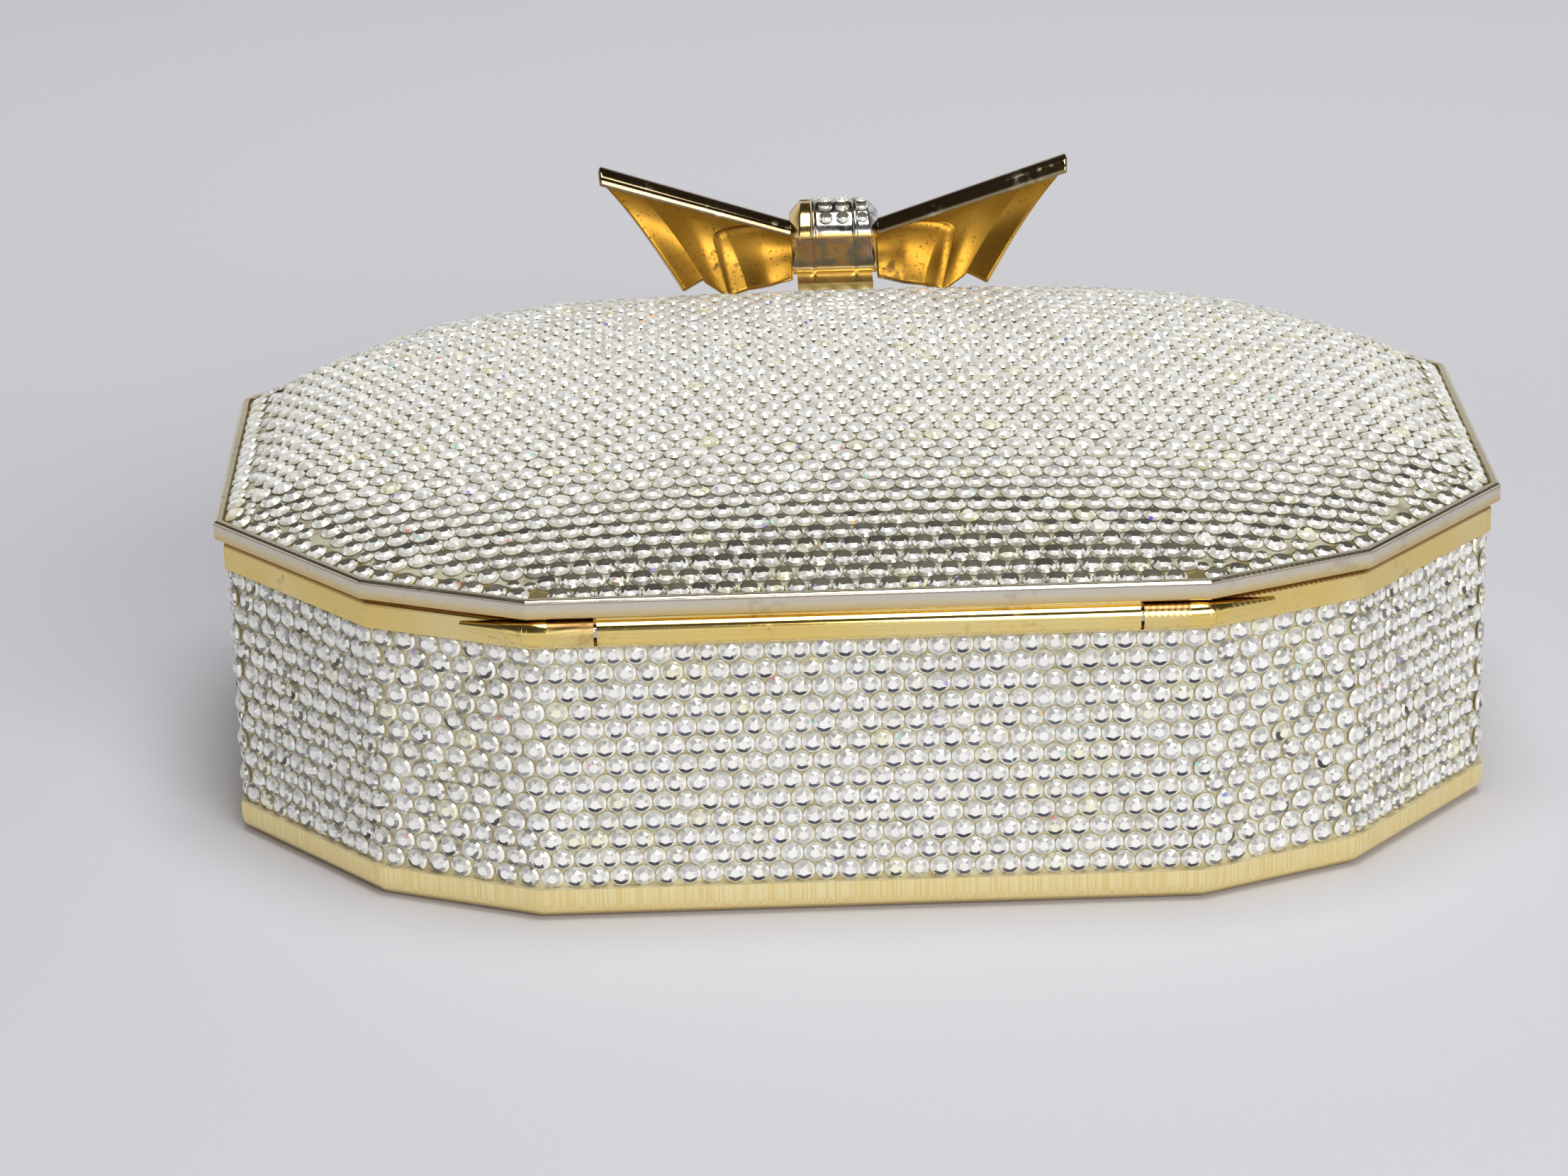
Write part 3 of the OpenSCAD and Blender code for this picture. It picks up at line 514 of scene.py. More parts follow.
def dark_at_ends(wall, aside, turn, up, luck, random):
    """Share of painted dark reflection on slanted walls: inner facets round one random direction, and odd
    outer ones.
    """
    slant = random.uniform(-2.9, -0.2, (len(up), 1))
    group = INNER * (np.cos(FACING[None] + turn[:, None] - slant) > 0.6) * (luck < 0.85)
    group = group * random.uniform(0.4, 1, (len(up), 1))
    odd = OUTER * (random.random(up.shape) < 0.3) * 0.7
    return np.maximum(group, odd) * (random.random((len(up), 1)) < 1.4 * aside) * wall


def crescent(wall, aside, up, luck):
    """Share of painted dark reflection on straight walls: the inner facets that face down, weak on one in
    five.
    """
    return INNER * step(-up, 0.5, 0.66) * wall * (0.3 + 0.7 * (luck > 0.2)) * (1 - 0.8 * aside)


print("the first rows slope more than", round(math.degrees(math.asin(FIRST_ROWS[0]))), "degrees")

# %% [markdown]
# Age has turned some crystals yellow, and a very few facets get a painted flash of colour. These come
# last, over the light and the dark tones.

# %% Tones of the facets
FIRE = np.array([[0.16, 0.16, 0.75], [0.85, 0.3, 0.3], [0.4, 0.8, 0.7], [0.9, 0.6, 0.25],
                 [0.5, 0.35, 0.85]])
# Painted dark reflections: the crescent colour and the olive colour of the dark facets.
CRESCENT_DARK_REFLECTION, OLIVE_DARK_REFLECTION = np.array([0.085, 0.085, 0.105]), np.array([0.075, 0.07, 0.05])
YELLOWED, AGED = np.array([1.0, 0.98, 0.79]), np.array([0.0, 0.1, 0.6])
YELLOW_CHANCE, SPARK_CHANCE = 0.06, 0.002


def facet_tones(axis, turn, random):
    """Colour of every face of every crystal, (crystals, faces, 3).

    It is mix(mix(light, painted dark reflection, crescent), olive painted dark reflection, dark), then
    times yellow. up is the sine of the facet's direction, so 1 faces up the wall or up the slope. luck
    is one number for a crystal.
    """
    wall, toward, aside = lie(axis)
    up = np.sin(FACING[None] + turn[:, None])
    each = (len(up), 1, 1)
    luck = random.uniform(0, 1, (len(up), 1))
    tone = light_tones(wall, up, random)
    dark = dark_on_dome(axis, wall, toward, up, luck, random)
    dark = np.maximum(dark, dark_at_ends(wall, aside, turn, up, luck, random))
    for share, shade in ((crescent(wall, aside, up, luck), CRESCENT_DARK_REFLECTION), (dark, OLIVE_DARK_REFLECTION)):
        tone = mix(tone, shade * random.uniform(0.6, 1.8, each), share[:, :, None])
    yellow = (random.random((len(up), 1)) < YELLOW_CHANCE) & (random.random(up.shape) < 0.6)
    tone[yellow] *= YELLOWED
    tone *= 1 - random.uniform(0, 0.1, each) * AGED
    # painted sparks of colour, as the fire of cut glass
    spark = (random.random(up.shape) < SPARK_CHANCE) & (INNER | OUTER)
    tone[spark] = FIRE[random.integers(0, len(FIRE), spark.sum())]
    return tone


def crystal_finish():
    """Facets under a clear coat, which gives the glints. A dark facet has none, or it would shine.

    clear is 0 on a dark facet and 1 on a light one, from the brightness of its tone.
    """
    f = Finish("crystal", (0.93, 0.92, 0.88), 0.09, 0.08, coat_roughness=0.02, ior=1.56)
    tone = f.node("ShaderNodeAttribute", {"attribute_name": "tone"}, {})
    clear = f.node("ShaderNodeAttribute", {"attribute_name": "tone"}, {}, 2).above(0.15, 0.45)
    haze = f.noise(1500, 3).above(0.55, 0.75)
    f.shade(base_color=f.mix(haze * 0.12, tone, (0.78, 0.77, 0.7)), coat_weight=clear,
            roughness=haze * 0.2 + (1 - clear) * 0.7 + 0.07)
    return f.material


crystal = crystal_finish()
print("finish of the facets:", crystal.name)

# %% [markdown]
# ## Setting the crystals
# The same few points are placed on every seat at once: a table of local points, times the frame of
# each seat. The second direction of that frame points up the wall or up the slope. A jeweller's
# hand is steady but not perfect, so each crystal is turned about its axis, leans a degree or two,
# and stands a little high or low. Real crystals almost touch, so each grows into half of the gap
# to its nearest neighbour.

# %% Set the crystals
LEAN, TURN_SHARE = math.radians(1.6), 0.7
LOWEST_CUT, HIGHEST_CUT = 0.6, 0.7
AIR, MOST_GROWTH = 0.012 * MM, 0.1 * MM
DOME_AXIS = 0.6


def new_piece(name, points, faces, material, body, replaced=()):
    """A mesh object from points and faces, on a body, with its finish and the nodes it stands for."""
    mesh = bpy.data.meshes.new(name)
    mesh.from_pydata(points, [], faces)
    mesh.materials.append(material)
    piece = bpy.data.objects.new(name, mesh)
    scene.collection.objects.link(piece)
    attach(piece, body)
    if replaced:
        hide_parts(*replaced)
    return piece


def unit(v):
    """Directions of length 1."""
    return v / np.linalg.norm(v, axis=-1, keepdims=True)


def set_crystals(name, node, body, seed):
    """One piece with a cut crystal on every seat of a node.

    A point (x, y, z) of the cut goes to seat + radius * (x * side + y * up) + height * z * axis.
    """
    random = np.random.default_rng(seed)
    place, axis, radius, height = seats(node)
    count = len(place)
    high = np.where(axis[:, 2:] > DOME_AXIS, np.array([[0.0, 1.0, 0.0]]), np.array([[0.0, 0.0, 1.0]]))
    up = high - axis * (axis * high).sum(1, keepdims=True)
    up = unit(up - axis * (up * axis).sum(1, keepdims=True))
    side = np.cross(up, axis)
    lean = random.normal(0, LEAN, (count, 2))
    axis_set = unit(axis + lean[:, :1] * side + lean[:, 1:] * up)
    turn = random.uniform(-math.pi / CUT, math.pi / CUT, count) * TURN_SHARE
    along = unit(np.cos(turn)[:, None] * side + np.sin(turn)[:, None] * up)
    along = unit(along - axis_set * (along * axis_set).sum(1, keepdims=True))
    across = np.cross(axis_set, along)
    tall = height * random.uniform(LOWEST_CUT, HIGHEST_CUT, count)
    apart = np.linalg.norm(place[:, None] - place[None], axis=2) - radius[:, None] - radius[None]
    np.fill_diagonal(apart, 1.0)
    radius = radius + np.clip(apart.min(1) / 2 - AIR, 0, MOST_GROWTH)
    points = (place[:, None] + (radius[:, None] * UNIT[None, :, 0])[..., None] * along[:, None]
              + (radius[:, None] * UNIT[None, :, 1])[..., None] * across[:, None]
              + (tall[:, None] * UNIT[None, :, 2])[..., None] * axis_set[:, None])
    first = np.arange(count) * len(UNIT)
    faces = [tuple(i + f for i in face) for f in first.tolist() for face in FACES]
    piece = new_piece(name, points.reshape(-1, 3), faces, crystal, body, [node])
    tone = np.ones((count, len(KINDS), 4))
    tone[:, :, :3] = facet_tones(axis, turn, random)
    layer = piece.data.attributes.new("tone", "FLOAT_COLOR", "FACE")
    layer.data.foreach_set("color", tone.astype(np.float32).ravel())
    print(name, count, "crystals")


for seed, node in enumerate(n for n in sorted(nodes) if "stones" in n):
    set_crystals(node.replace("stones", "crystals"), node, nodes[node]["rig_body"], seed)

# %% [markdown]
# ## The bed of the crystals
# Between the crystals shows the gold of the box under old glue, yellow and a little dirty. The
# band at the foot of the box belongs to the same shell, and is bare gold, brushed upward, with
# painted shade in brown where it turns under. Two finishes on two meshes would leave a seam, so one
# finish has a mask on the height. The dome's shell is gold below the top of its rim, where it shows
# only from inside.

# %% Shell finishes
STRIP_EDGE, FOOT_TURN = 0.1 * MM, (0.3 * MM, 1.3 * MM)
NO_TOP = 1.0


def bed_finish(name, low, high, clean, dirty):
    """Polished gold, but glue from clean to dirty where the height lies between low and high."""
    f = Finish(name, clean, 0.35)
    cloud = f.noise(500, 4).above(0.35, 0.65)
    height = f.along(2)
    glued = height.above(low, low + STRIP_EDGE) * (height * -1 + high).above(0, STRIP_EDGE)
    worn = f.mix(cloud, dirty, clean)
    brushed = f.noise(4800, 0, stretch=(1, 1, 0.01))
    bare = f.mix(brushed.above(0.3, 0.7), (0.94, 0.74, 0.32), (1.0, 0.88, 0.48))
    # painted shade: brown where the band turns under at its foot
    bare = f.mix(height.above(*FOOT_TURN), (0.62, 0.42, 0.14), bare)
    f.shade(base_color=f.mix(glued, bare, worn),
            roughness=glued * 0.28 + f.noise(120, 3) * 0.08 + 0.08, metallic=0.85 - glued * 0.65)
    f.bump(cloud * glued * 4 + brushed, PLATE_RELIEF)
    return f.material


def dress(node, material):
    """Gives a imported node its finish."""
    nodes[node].data.materials.clear()
    nodes[node].data.materials.append(material)


frame_foot, wall_foot = (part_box(node)[0].z for node in ("base_frame", "base_stones_hinge_side"))
dress("base_shell", bed_finish("shell_gold", wall_foot - STRIP_EDGE, frame_foot,
                               (0.82, 0.75, 0.5), (0.6, 0.51, 0.28)))
dress("lid_shell", bed_finish("dome_gold", rim_box[1].z - STRIP_EDGE, NO_TOP,
                              (0.66, 0.62, 0.46), (0.42, 0.38, 0.25)))
print("the wall's crystals lie from", round(wall_foot / MM, 2), "to", round(frame_foot / MM, 2), "mm")

# %% [markdown]
# The frame shows the strongest arcs of the polishing wheel, on its slanted sides. In the gap under
# the lid's rim it is brown, as painted shade, which is again a mask on the height.

# %% Dress the other gold nodes
GAP_SHADE = 1.1 * MM
# Painted shade: brown on the frame's top, in the gap under the lid's rim.
frame_gold = gold("frame_gold", (0.87, 0.66, 0.23), (0.9, 0.74, 0.36), (0.3, 0.17, 0.06), 0.2, 1.8, 0.4,
                  shade_from=rim_box[0].z - GAP_SHADE)
for node, material in (("base_frame", frame_gold), ("lid_rim", pale), ("lid_hinge_knuckle", polished),
                       ("clasp_bracket", satin), ("clasp_lever", satin), ("catch_rivets", satin),
                       ("lid_tongue", pale)):
    dress(node, material)
    print(node, "in", material.name)

# %% [markdown]
# ## Steel of the pins and the spring
# Drawn wire has hairlines along its length, and the spring strip is blued by its hardening. A
# pattern of lines could give the hairlines, but noise that is drawn out along X never repeats.

# %% Steel
HAIR_RELIEF = 0.008 * MM


def steel(name, colour, roughness, blue=0.0):
    """Steel with hairlines along X, and blue in clouds where it was hardened."""
    f = Finish(name, colour, roughness, 1.0)
    hair = f.noise(1400, 2, stretch=(0.1, 1, 1))
    tint = f.noise(90, 2).above(0.4, 0.6) * blue
    f.shade(base_color=f.mix(tint, colour, (0.3, 0.34, 0.5)), roughness=hair * 0.2 + roughness)
    f.bump(hair, HAIR_RELIEF)
    return f.material


wire = steel("drawn_wire", (0.7, 0.68, 0.64), 0.16)
strip = steel("spring_strip", (0.56, 0.56, 0.57), 0.2, 0.7)
for node, material in (("hinge_pin", wire), ("clasp_pin", wire), ("catch_spring", strip)):
    dress(node, material)
    print(node, "in", material.name)

# %% [markdown]
# ## Run-out of the hinge
# Each end of the hinge doesn't stop. It swells out of the frame's slanted side, bends at the corner
# and grows into the round knuckle. A tube carried along a path that turns gives that: its radius
# and its depth in the frame are functions of the way along the path.

# %% Run-out
pin_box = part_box("hinge_pin")
HINGE_END, HINGE_Y, HINGE_Z = (pin_box[1].x / MM, (pin_box[0].y + pin_box[1].y) / 2 / MM,
                               (pin_box[0].z + pin_box[1].z) / 2 / MM)
BARREL_R, SIDE_TURN = 1.75, math.radians(25.6)
RUN_FROM, RUN_TO, BEND = -0.7, 12.2, (1.2, 3.4)
NECK, TAPER, SINK = (0.0, 2.2), (2.2, 10.7), (8.0, 12.2)
NECK_LOSS, TAPER_LOSS, SINK_DEPTH, COVER = 0.08, 0.62, 1.1, 0.06
RUN_ROWS, RUN_COLUMNS = 60, 33


def grid_faces(rows, columns, flip=False):
    """Quads between the points of a grid that is stored row after row."""
    i, j = np.meshgrid(np.arange(rows - 1), np.arange(columns - 1), indexing="ij")
    a = i * columns + j
    quads = np.stack([a, a + 1, a + columns + 1, a + columns], -1).reshape(-1, 4)
    return (quads[:, ::-1] if flip else quads).tolist()


def smooth(piece):
    """Shades all faces smooth."""
    piece.data.polygons.foreach_set("use_smooth", np.ones(len(piece.data.polygons), bool))


def weld(piece):
    """Merges points in the same place, as at the closed end of a tube, and turns all faces outward."""
    skin = bmesh.new()
    skin.from_mesh(piece.data)
    bmesh.ops.remove_doubles(skin, verts=skin.verts, dist=0.0001 * MM)
    bmesh.ops.recalc_face_normals(skin, faces=skin.faces)
    skin.to_mesh(piece.data)
    skin.free()


def run_out(name, side):
    """A tube round the sum of small steps along a heading that turns from 0 to SIDE_TURN.

    Its radius falls from the barrel's to a third of it, and to 0 at both ends, which lie in metal.
    """
    way = np.linspace(RUN_FROM, RUN_TO, RUN_ROWS)
    heading = SIDE_TURN * step(way, *BEND)
    small = way[1] - way[0]
    x = HINGE_END + way[0] + np.concatenate([[0], np.cumsum(np.cos(heading[1:]) * small)])
    sunk = SINK_DEPTH * step(way, *SINK) ** 2
    y = HINGE_Y + np.concatenate([[0], np.cumsum(np.sin(heading[1:]) * small)])
    radius = BARREL_R * (1 - NECK_LOSS * step(way, *NECK) - TAPER_LOSS * step(way, *TAPER))
    radius = radius + COVER * step(way, -0.2, 0.8)
    radius[[0, -1]] = 0.0
    turn = np.linspace(0, 2 * math.pi, RUN_COLUMNS)[None]
    out = radius[:, None] * np.cos(turn) - sunk[:, None]
    points = np.stack([side * (x[:, None] + out * np.sin(heading)[:, None]),
                       y[:, None] - out * np.cos(heading)[:, None],
                       HINGE_Z + radius[:, None] * np.sin(turn)], -1) * MM
    faces = grid_faces(RUN_ROWS, RUN_COLUMNS, flip=side < 0)
    piece = new_piece(name, points.reshape(-1, 3), faces, polished, "base")
    weld(piece)
    smooth(piece)
    print(name, "from x", round(side * x[0], 1), "to", round(side * x[-1], 1), "mm")


run_out("right_hinge_run_out", 1)
run_out("left_hinge_run_out", -1)

# %% [markdown]
# ## The bow
# The bow was cast in one go and polished on its front and top. Its back, which faces the hinge, is
# hollow and keeps the grainy skin of the casting. Each wing is a ribbon loop. A section across it
# starts at a lip under the top edge, rolls over the top and runs down the front to the bottom
# edge. The section is a function of two shares: u from the knot to the tip, v round the section.

# %% Where the knot is
KNOT_R, RIDGE = 5.2, 0.3
knot_box, wing_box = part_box("bow_knot"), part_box("bow_right_wing")
KNOT_HALF, WING_TIP = knot_box[1].x / MM, wing_box[1].x / MM
knot_y, knot_z = (knot_box[1][axis] / MM - KNOT_R - RIDGE for axis in (1, 2))
print("middle of the knot: y", round(knot_y, 2), "z", round(knot_z, 2), "mm")

# %% [markdown]
# All heights below are measured from the middle of the knot, so the wing follows the knot wherever
# the model has it. The folds need four lengths: where the inner one stands forward, the share from
# one to the next, their depth, and how far the bottom edge is cut up between the two outer ones.

# %% Section of a wing
ROLL_SHARE, FOLD_AT, FOLD_STEP = 0.38, 0.6, 0.4
CREASE = 0.97
FOLD, NOTCH, PLEAT = 1.1, 1.4, 0.5
ROLL_FROM, ROLL_TO = math.radians(5), math.radians(125)
ROOT_TOP, TIP_TOP = 3.0, 11.6
ROOT_LOW, FOLD_LOW, TIP_LOW = -5.2, -7.3, -6.2


def fan(u):
    """1 on a fold that stands forward, -1 between two of them, straight between: a crisp crease."""
    return np.arcsin(CREASE * np.cos(2 * np.pi * (u - FOLD_AT) / FOLD_STEP)) / math.asin(CREASE)


def pleat(u, t):
    """1 on the inner pleat, 0 beyond its top and its outer edge, with u along and t down the wing."""
    top, edge = mix(0.08, 0.43, u / 0.45), mix(0.42, 0.58, t)
    return step(t - top, 0, 0.05) * step(edge - u, 0, 0.035)


def low_edge(u):
    """Height of the bottom edge: straight to the fold and on to the tip, cut up between the folds."""
    outer = mix(FOLD_LOW, TIP_LOW, (u - FOLD_AT) / (1 - FOLD_AT)) + NOTCH * (1 - fan(u)) / 2
    return np.where(u < FOLD_AT, mix(ROOT_LOW, FOLD_LOW, u / FOLD_AT), outer)


def wing_section(u, v):
    """Points (y, z) of the wing's outer skin, in millimetres from the knot's middle.

    For v below ROLL_SHARE it is an arc round the rolled edge, and after that a quadratic curve
    from the end of the arc to the bottom edge. The folds are fan(u) times u and the way down.
    """
    radius = mix(1.9, 2.3, u)
    top, low = mix(ROOT_TOP, TIP_TOP, u), low_edge(u)
    centre = np.stack([np.full_like(u, -1.6), top - radius], -1)
    angle = mix(ROLL_FROM, ROLL_TO, np.minimum(v / ROLL_SHARE, 1))
    arc = centre + radius[..., None] * np.stack([-np.cos(angle), np.sin(angle)], -1)
    start = centre + radius[..., None] * np.array([-math.cos(ROLL_TO), math.sin(ROLL_TO)])
    hold = np.stack([np.full_like(u, 3.0), mix(top, low, 0.45)], -1)
    end = np.stack([np.full_like(u, -2.4), low], -1)
    t = np.clip((v - ROLL_SHARE) / (1 - ROLL_SHARE), 0, 1)
    w = t[..., None]
    curve = start * (1 - w) ** 2 + hold * 2 * w * (1 - w) + end * w ** 2
    curve[..., 0] -= FOLD * fan(u) * u * t + PLEAT * pleat(u, t)
    return np.where((v < ROLL_SHARE)[..., None], arc, curve)


print("a wing is", ROOT_TOP - ROOT_LOW, "mm high at the knot and", TIP_TOP - TIP_LOW, "mm at its tip")

# %% [markdown]
# A grid of u and v becomes a mesh with one routine, which is used for the knot too. The sheet then
# gets its wall from a Solidify modifier, and one level of subdivision rounds the edges. Solidify
# gives the inner wall the next material slot after the outer one's, so the polished front, the
# rolled edge, dark from tarnish and a painted dark reflection, and the grainy back are one piece.

# %% Sheets from grids
def with_wall(piece, wall, inner):
    """Gives a sheet a wall on the side away from its normals, in the finish inner."""
    piece.data.materials.append(inner)
    solid = piece.modifiers.new("wall", "SOLIDIFY")
    solid.thickness, solid.offset = wall, -1
    solid.material_offset = 1
    soft = piece.modifiers.new("soft edges", "SUBSURF")
    soft.levels = soft.render_levels = 1
    smooth(piece)


cast_front = gold("bow_polish", (0.8, 0.56, 0.22), (0.84, 0.66, 0.36), (0.1, 0.07, 0.05), 0.09, 0.0, 0.75)
# The rolled edge is dark brown: partly tarnish, partly a painted dark reflection of the room above.
roll_tarnish_and_dark_reflection = gold("bow_edge_tarnish_and_dark_reflection", (0.24, 0.16, 0.08), (0.34, 0.26, 0.15), (0.6, 0.55, 0.38), 0.08, 0.0, 0.5)
cast_back = gold("bow_casting", (0.42, 0.2, 0.02), (0.52, 0.29, 0.045), (0.14, 0.08, 0.03), 0.36,
                 0.0, 0.7, 1.0)
print("finishes of the bow:", cast_front.name, roll_tarnish_and_dark_reflection.name, cast_back.name)

# %% Cast the wings
WING_COLUMNS, WING_ROWS = 81, 61
LOW_TIP_SHARE, ROLL_SLOT = 0.66, 2
BOW_WALL, ROOT_IN = 1.0 * MM, 0.4


def wing(name, side):
    """One wing. Its outer edge leans in from the roll's lip down to the bottom tip."""
    u, v = np.meshgrid(np.linspace(0, 1, WING_COLUMNS), np.linspace(0, 1, WING_ROWS), indexing="ij")
    section = wing_section(u, v)
    lip, tip_z = section[-1, 0, 1], section[-1, :, 1]
    down = np.clip((lip - tip_z) / (lip - TIP_LOW), 0, None)
    x = mix(KNOT_HALF - ROOT_IN, WING_TIP * mix(1.0, LOW_TIP_SHARE, down)[None], u)
    points = np.stack([side * x, knot_y + section[..., 0], knot_z + section[..., 1]], -1) * MM
    faces = grid_faces(WING_COLUMNS, WING_ROWS, flip=side > 0)
    node = "bow_right_wing" if side > 0 else "bow_left_wing"
    piece = new_piece(name, points.reshape(-1, 3), faces, cast_front, "clasp", [node])
    with_wall(piece, BOW_WALL, cast_back)
    piece.data.materials.append(roll_tarnish_and_dark_reflection)
    piece.data.materials.append(cast_back)
    rolled = (np.arange(WING_ROWS - 1) + 0.5) / (WING_ROWS - 1) < ROLL_SHARE
    slots = np.tile(rolled * ROLL_SLOT, WING_COLUMNS - 1).astype(np.int32)
    piece.data.polygons.foreach_set("material_index", slots)
    print(name, "with", len(faces), "faces before its wall")


wing("right_wing", 1)
wing("left_wing", -1)

# %% [markdown]
# The knot is a strip that wraps a bar whose ends are rounded off, and it is open at the back,
# where it faces the hinge. Two raised ridges run round it and hold the larger crystals between
# them. Its surface is a function of the place x across the strip and the angle round the bar. The
# radius is the bar's own or, near the ends, that of a ball a little below the bar's middle. The
# plate is silver, gone dark, under the crystals, and gold on the lip and on one bare strip.

# %% Finishes of the knot
PLATE_LIP, PLATE_EDGE = 2.1, (-3.0, -2.8)


def knot_plate():
    """Gold on the bare strip at one end and on the lip, and blackened silver under the crystals."""
    f = Finish("knot_plate", (0.5, 0.5, 0.47), 0.1, 1.0)
    lip = (knot_z + PLATE_LIP) * MM
    from_strip = f.along(0).above(PLATE_EDGE[0] * MM, PLATE_EDGE[1] * MM)
    silvered = from_strip * f.along(2).above(lip, lip + 0.2 * MM)
    silver = f.mix(f.noise(900, 3).above(0.4, 0.6), (0.3, 0.29, 0.26), (0.72, 0.71, 0.68))
    f.shade(base_color=f.mix(silvered, (0.8, 0.56, 0.22), silver),
            roughness=f.noise(900, 3) * 0.15 + 0.06)
    f.bump(f.noise(260, 2), PLATE_RELIEF)
    return f.material


def knot_hollow():
    """Old plate in the hollow, gone grey-green in some clouds and pink in others."""
    f = Finish("knot_hollow", (0.5, 0.4, 0.2), 0.4, 0.55)
    green, pink = f.noise(330, 4).above(0.48, 0.6), f.noise(290, 4, turn=1.3).above(0.5, 0.62)
    tint = f.mix(green, (0.72, 0.52, 0.22), (0.34, 0.34, 0.24))
    f.shade(base_color=f.mix(pink * 0.7, tint, (0.66, 0.42, 0.3)), roughness=green * 0.2 + 0.3)
    f.bump(f.noise(1500, 3), 0.04 * MM)
    return f.material


plate, hollow = knot_plate(), knot_hollow()
print("finishes of the knot:", plate.name, hollow.name)

# %% Cast the knot
RIDGE_AT, RIDGE_WIDTH = 2.85, 0.27
KNOT_FROM, KNOT_TO = math.radians(17), math.radians(270)
KNOT_COLUMNS, KNOT_ROWS, KNOT_WALL = 121, 81, 1.1 * MM
BALL_DROP = 0.115 * KNOT_R
BALL_R = math.hypot(KNOT_HALF, 0.67 * KNOT_R + BALL_DROP)


def knot():
    """Sheet of the knot, with radius min(bar, ball) + ridge * exp(-((|x| - place) / width) ** 4)."""
    x, angle = np.meshgrid(np.linspace(-KNOT_HALF, KNOT_HALF, KNOT_COLUMNS),
                           np.linspace(KNOT_FROM, KNOT_TO, KNOT_ROWS), indexing="ij")
    lift = BALL_DROP * np.sin(angle)
    ball = np.sqrt(lift ** 2 + BALL_R ** 2 - BALL_DROP ** 2 - x ** 2) - lift
    radius = np.minimum(KNOT_R, ball) + RIDGE * np.exp(-((np.abs(x) - RIDGE_AT) / RIDGE_WIDTH) ** 4)
    points = np.stack([x, knot_y - radius * np.cos(angle), knot_z + radius * np.sin(angle)], -1) * MM
    piece = new_piece("knot", points.reshape(-1, 3), grid_faces(KNOT_COLUMNS, KNOT_ROWS, flip=True),
                      plate, "clasp", ["bow_knot"])
    with_wall(piece, KNOT_WALL, hollow)
    print("knot of", len(piece.data.polygons), "faces before its wall")


knot()

# %% [markdown]
# ## Leather lining
# The inside is lined with thin gold kid, which is glued flat to the metal, so it needs no cloth
# simulation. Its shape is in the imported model: a copy of that mesh is merged into one skin, its
# edges are rounded, and the copy gets the leather, a fine pebbled grain with soft creases.

# %% Line the inside
def kid():
    """Gold kid: pebbled grain in the roughness, and creases in the colour."""
    f = Finish("gold_kid", (0.66, 0.48, 0.2), 0.42, 0.55)
    grain = f.node("ShaderNodeTexVoronoi", {}, {"Vector": f.place, "Scale": 1600})
    crease = f.noise(110, 6)
    f.shade(base_color=f.mix(crease, (0.6, 0.42, 0.17), (0.74, 0.57, 0.28)),
            roughness=grain * 0.15 + 0.36)
    f.bump(grain + crease * 2, 0.06 * MM)
    return f.material


leather = kid()


def line(name, node, body):
    """A copy of the node's mesh as one skin without loose triangles, with rounded edges."""
    mesh = nodes[node].data.copy()
    mesh.name = name
    mesh.materials.clear()
    mesh.materials.append(leather)
    shell = bmesh.new()
    shell.from_mesh(mesh)
    bmesh.ops.remove_doubles(shell, verts=shell.verts, dist=SAME_PLACE)
    bmesh.ops.dissolve_limit(shell, angle_limit=math.radians(1), verts=shell.verts,
                             edges=shell.edges)
    shell.to_mesh(mesh)
    shell.free()
    piece = bpy.data.objects.new(name, mesh)
    scene.collection.objects.link(piece)
    round_edges = piece.modifiers.new("turned edges", "BEVEL")
    round_edges.width, round_edges.segments = 0.25 * MM, 3
    round_edges.limit_method, round_edges.angle_limit = "ANGLE", math.radians(40)
    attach(piece, body)
    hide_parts(node)
    print(name, "has", len(mesh.polygons), "faces")


line("base_lining_leather", "base_lining", "base")
line("lid_lining_leather", "lid_lining", "lid")

# %% [markdown]
# ## Floor and light
# Gold and crystal show what is round them, so the light has to be drawn as carefully as the metal.
# The floor is pale paper, with painted light behind the case: it is paler there, so that the far
# floor, which gets less lamp light, isn't darker.

# %% Floor
FLOOR_FAR, PAPER_BACK = 6.0, (0.0, 0.42)
PAPER, FAR_PAPER_PAINTED_LIGHT = (0.69, 0.69, 0.73), (0.92, 0.93, 0.97)


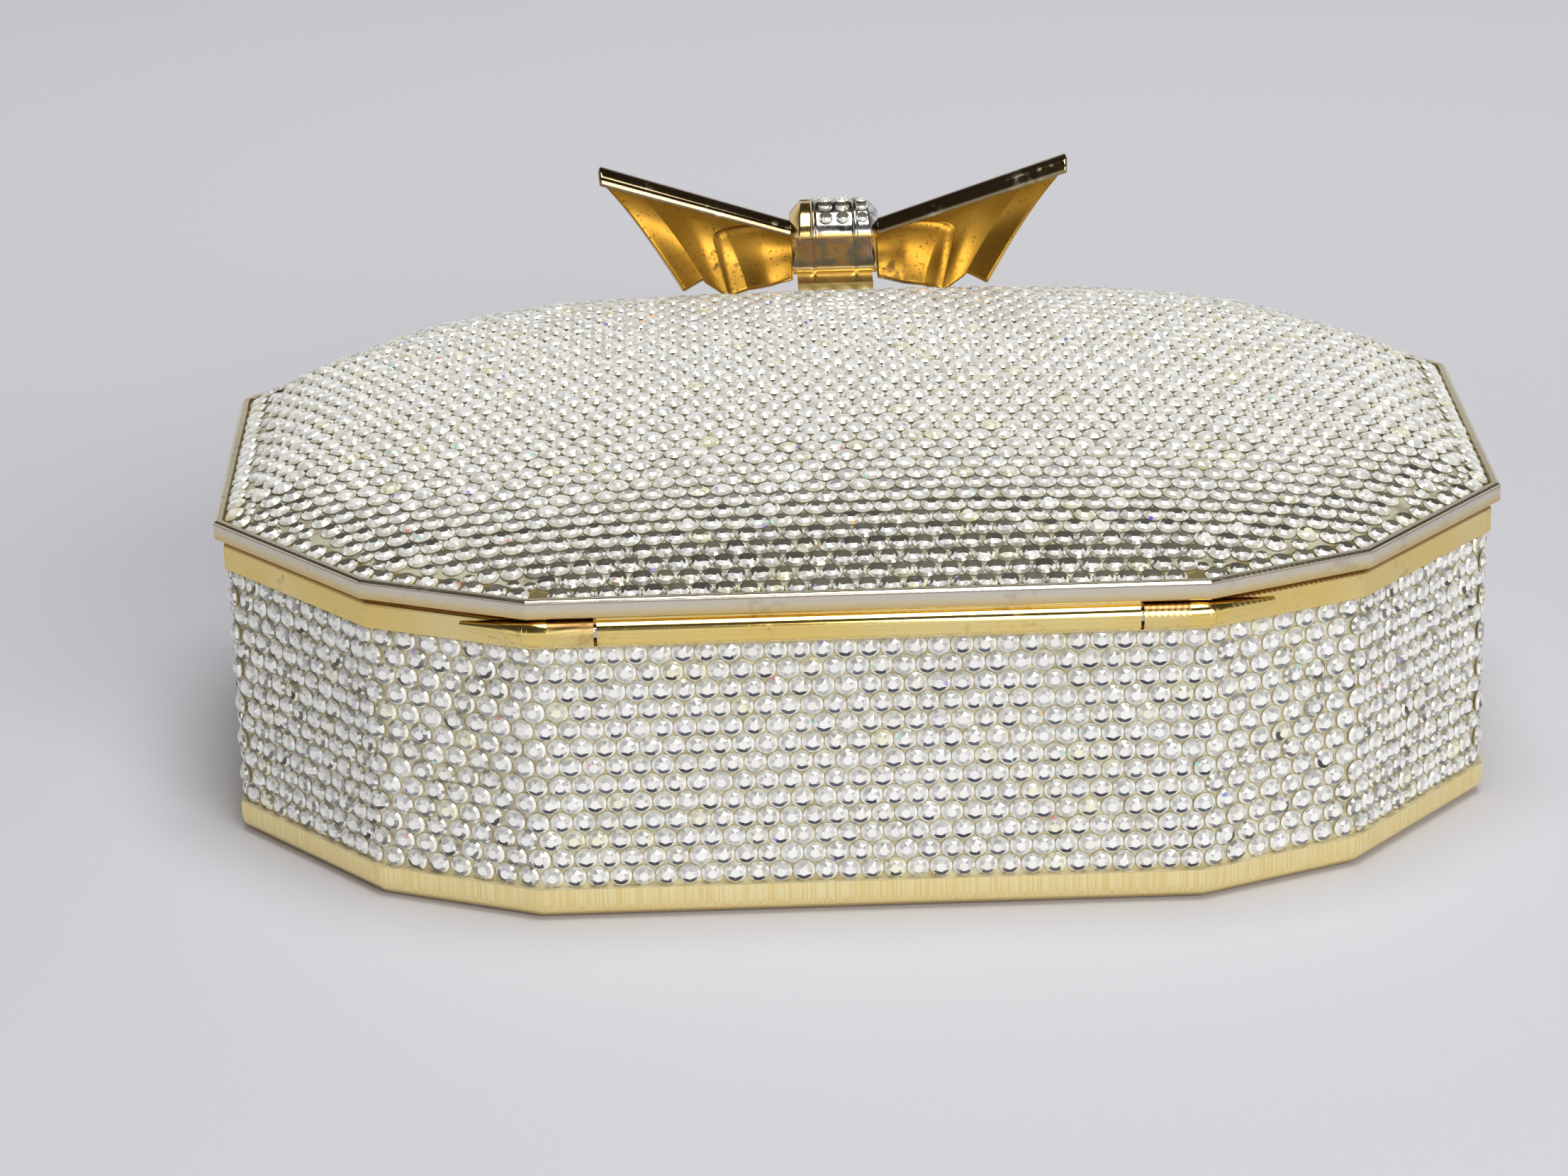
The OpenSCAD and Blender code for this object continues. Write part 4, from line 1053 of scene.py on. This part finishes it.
def floor():
    """One square of paper through the origin, which isn't part of the case."""
    mesh = bpy.data.meshes.new("floor")
    corners = [(x * FLOOR_FAR, y * FLOOR_FAR, 0) for x, y in ((-1, -1), (1, -1), (1, 1), (-1, 1))]
    mesh.from_pydata(corners, [], [(0, 1, 2, 3)])
    f = Finish("floor_paper", PAPER, 0.8)
    # painted light: paler toward the back, where less lamp light falls
    f.shade(base_color=f.mix(f.along(1).above(*PAPER_BACK), PAPER, FAR_PAPER_PAINTED_LIGHT))
    f.bump(f.noise(700, 3), 0.02 * MM)
    mesh.materials.append(f.material)
    plane = bpy.data.objects.new("floor", mesh)
    scene.collection.objects.link(plane)
    print("floor of", 2 * FLOOR_FAR, "m")


floor()

# %% [markdown]
# Two soft lamps are enough. The one overhead puts the broad highlight on the hinge, and is narrow
# enough to miss the slanted edges of the bow. The one in front stands to the right, lights the
# walls and gives the crystals their small glints.

# %% Lamps
def lamp(name, place, size, power):
    """A soft lamp of the given size in metres that shines at the case."""
    light = bpy.data.lights.new(name, "AREA")
    light.shape, light.size, light.size_y = "RECTANGLE", *size
    light.energy = power
    piece = bpy.data.objects.new(name, light)
    piece.location = place
    piece.rotation_mode = "QUATERNION"
    piece.rotation_quaternion = Vector(place).to_track_quat("Z", "Y")
    scene.collection.objects.link(piece)
    print(name, "lamp at", round(Vector(place).length, 2), "m with", power, "W")


lamp("overhead", (0.05, -0.12, 0.9), (0.42, 0.62), 5.0)
lamp("front", (0.45, -1.1, 0.7), (0.8, 0.5), 8.2)

# %% [markdown]
# The sky is as pale as the floor near the horizon, so the gold shows a pale room, and dark
# overhead, which is what the rolled edge of the bow shows.

# %% Sky
SKY = ((0.0, (0.74, 0.75, 0.8)), (0.3, (0.7, 0.71, 0.76)), (0.48, (0.07, 0.06, 0.05)),
       (1.0, (0.05, 0.045, 0.04)))


def sky():
    """Brightness falls from the horizon's to the zenith's with the height of the direction."""
    world = bpy.data.worlds.new("sky")
    world.use_nodes = True
    tree = world.node_tree
    link = tree.links.new
    way = tree.nodes.new("ShaderNodeTexCoord")
    split = tree.nodes.new("ShaderNodeSeparateXYZ")
    ramp = tree.nodes.new("ShaderNodeValToRGB")
    for stop, (at, colour) in zip(ramp_stops(ramp.color_ramp, len(SKY)), SKY):
        stop.position, stop.color = at, (*colour, 1)
    link(way.outputs["Generated"], split.inputs[0])
    link(split.outputs["Z"], ramp.inputs["Fac"])
    link(ramp.outputs["Color"], tree.nodes["Background"].inputs["Color"])
    scene.world = world
    print("sky with", len(SKY), "stops")


sky()
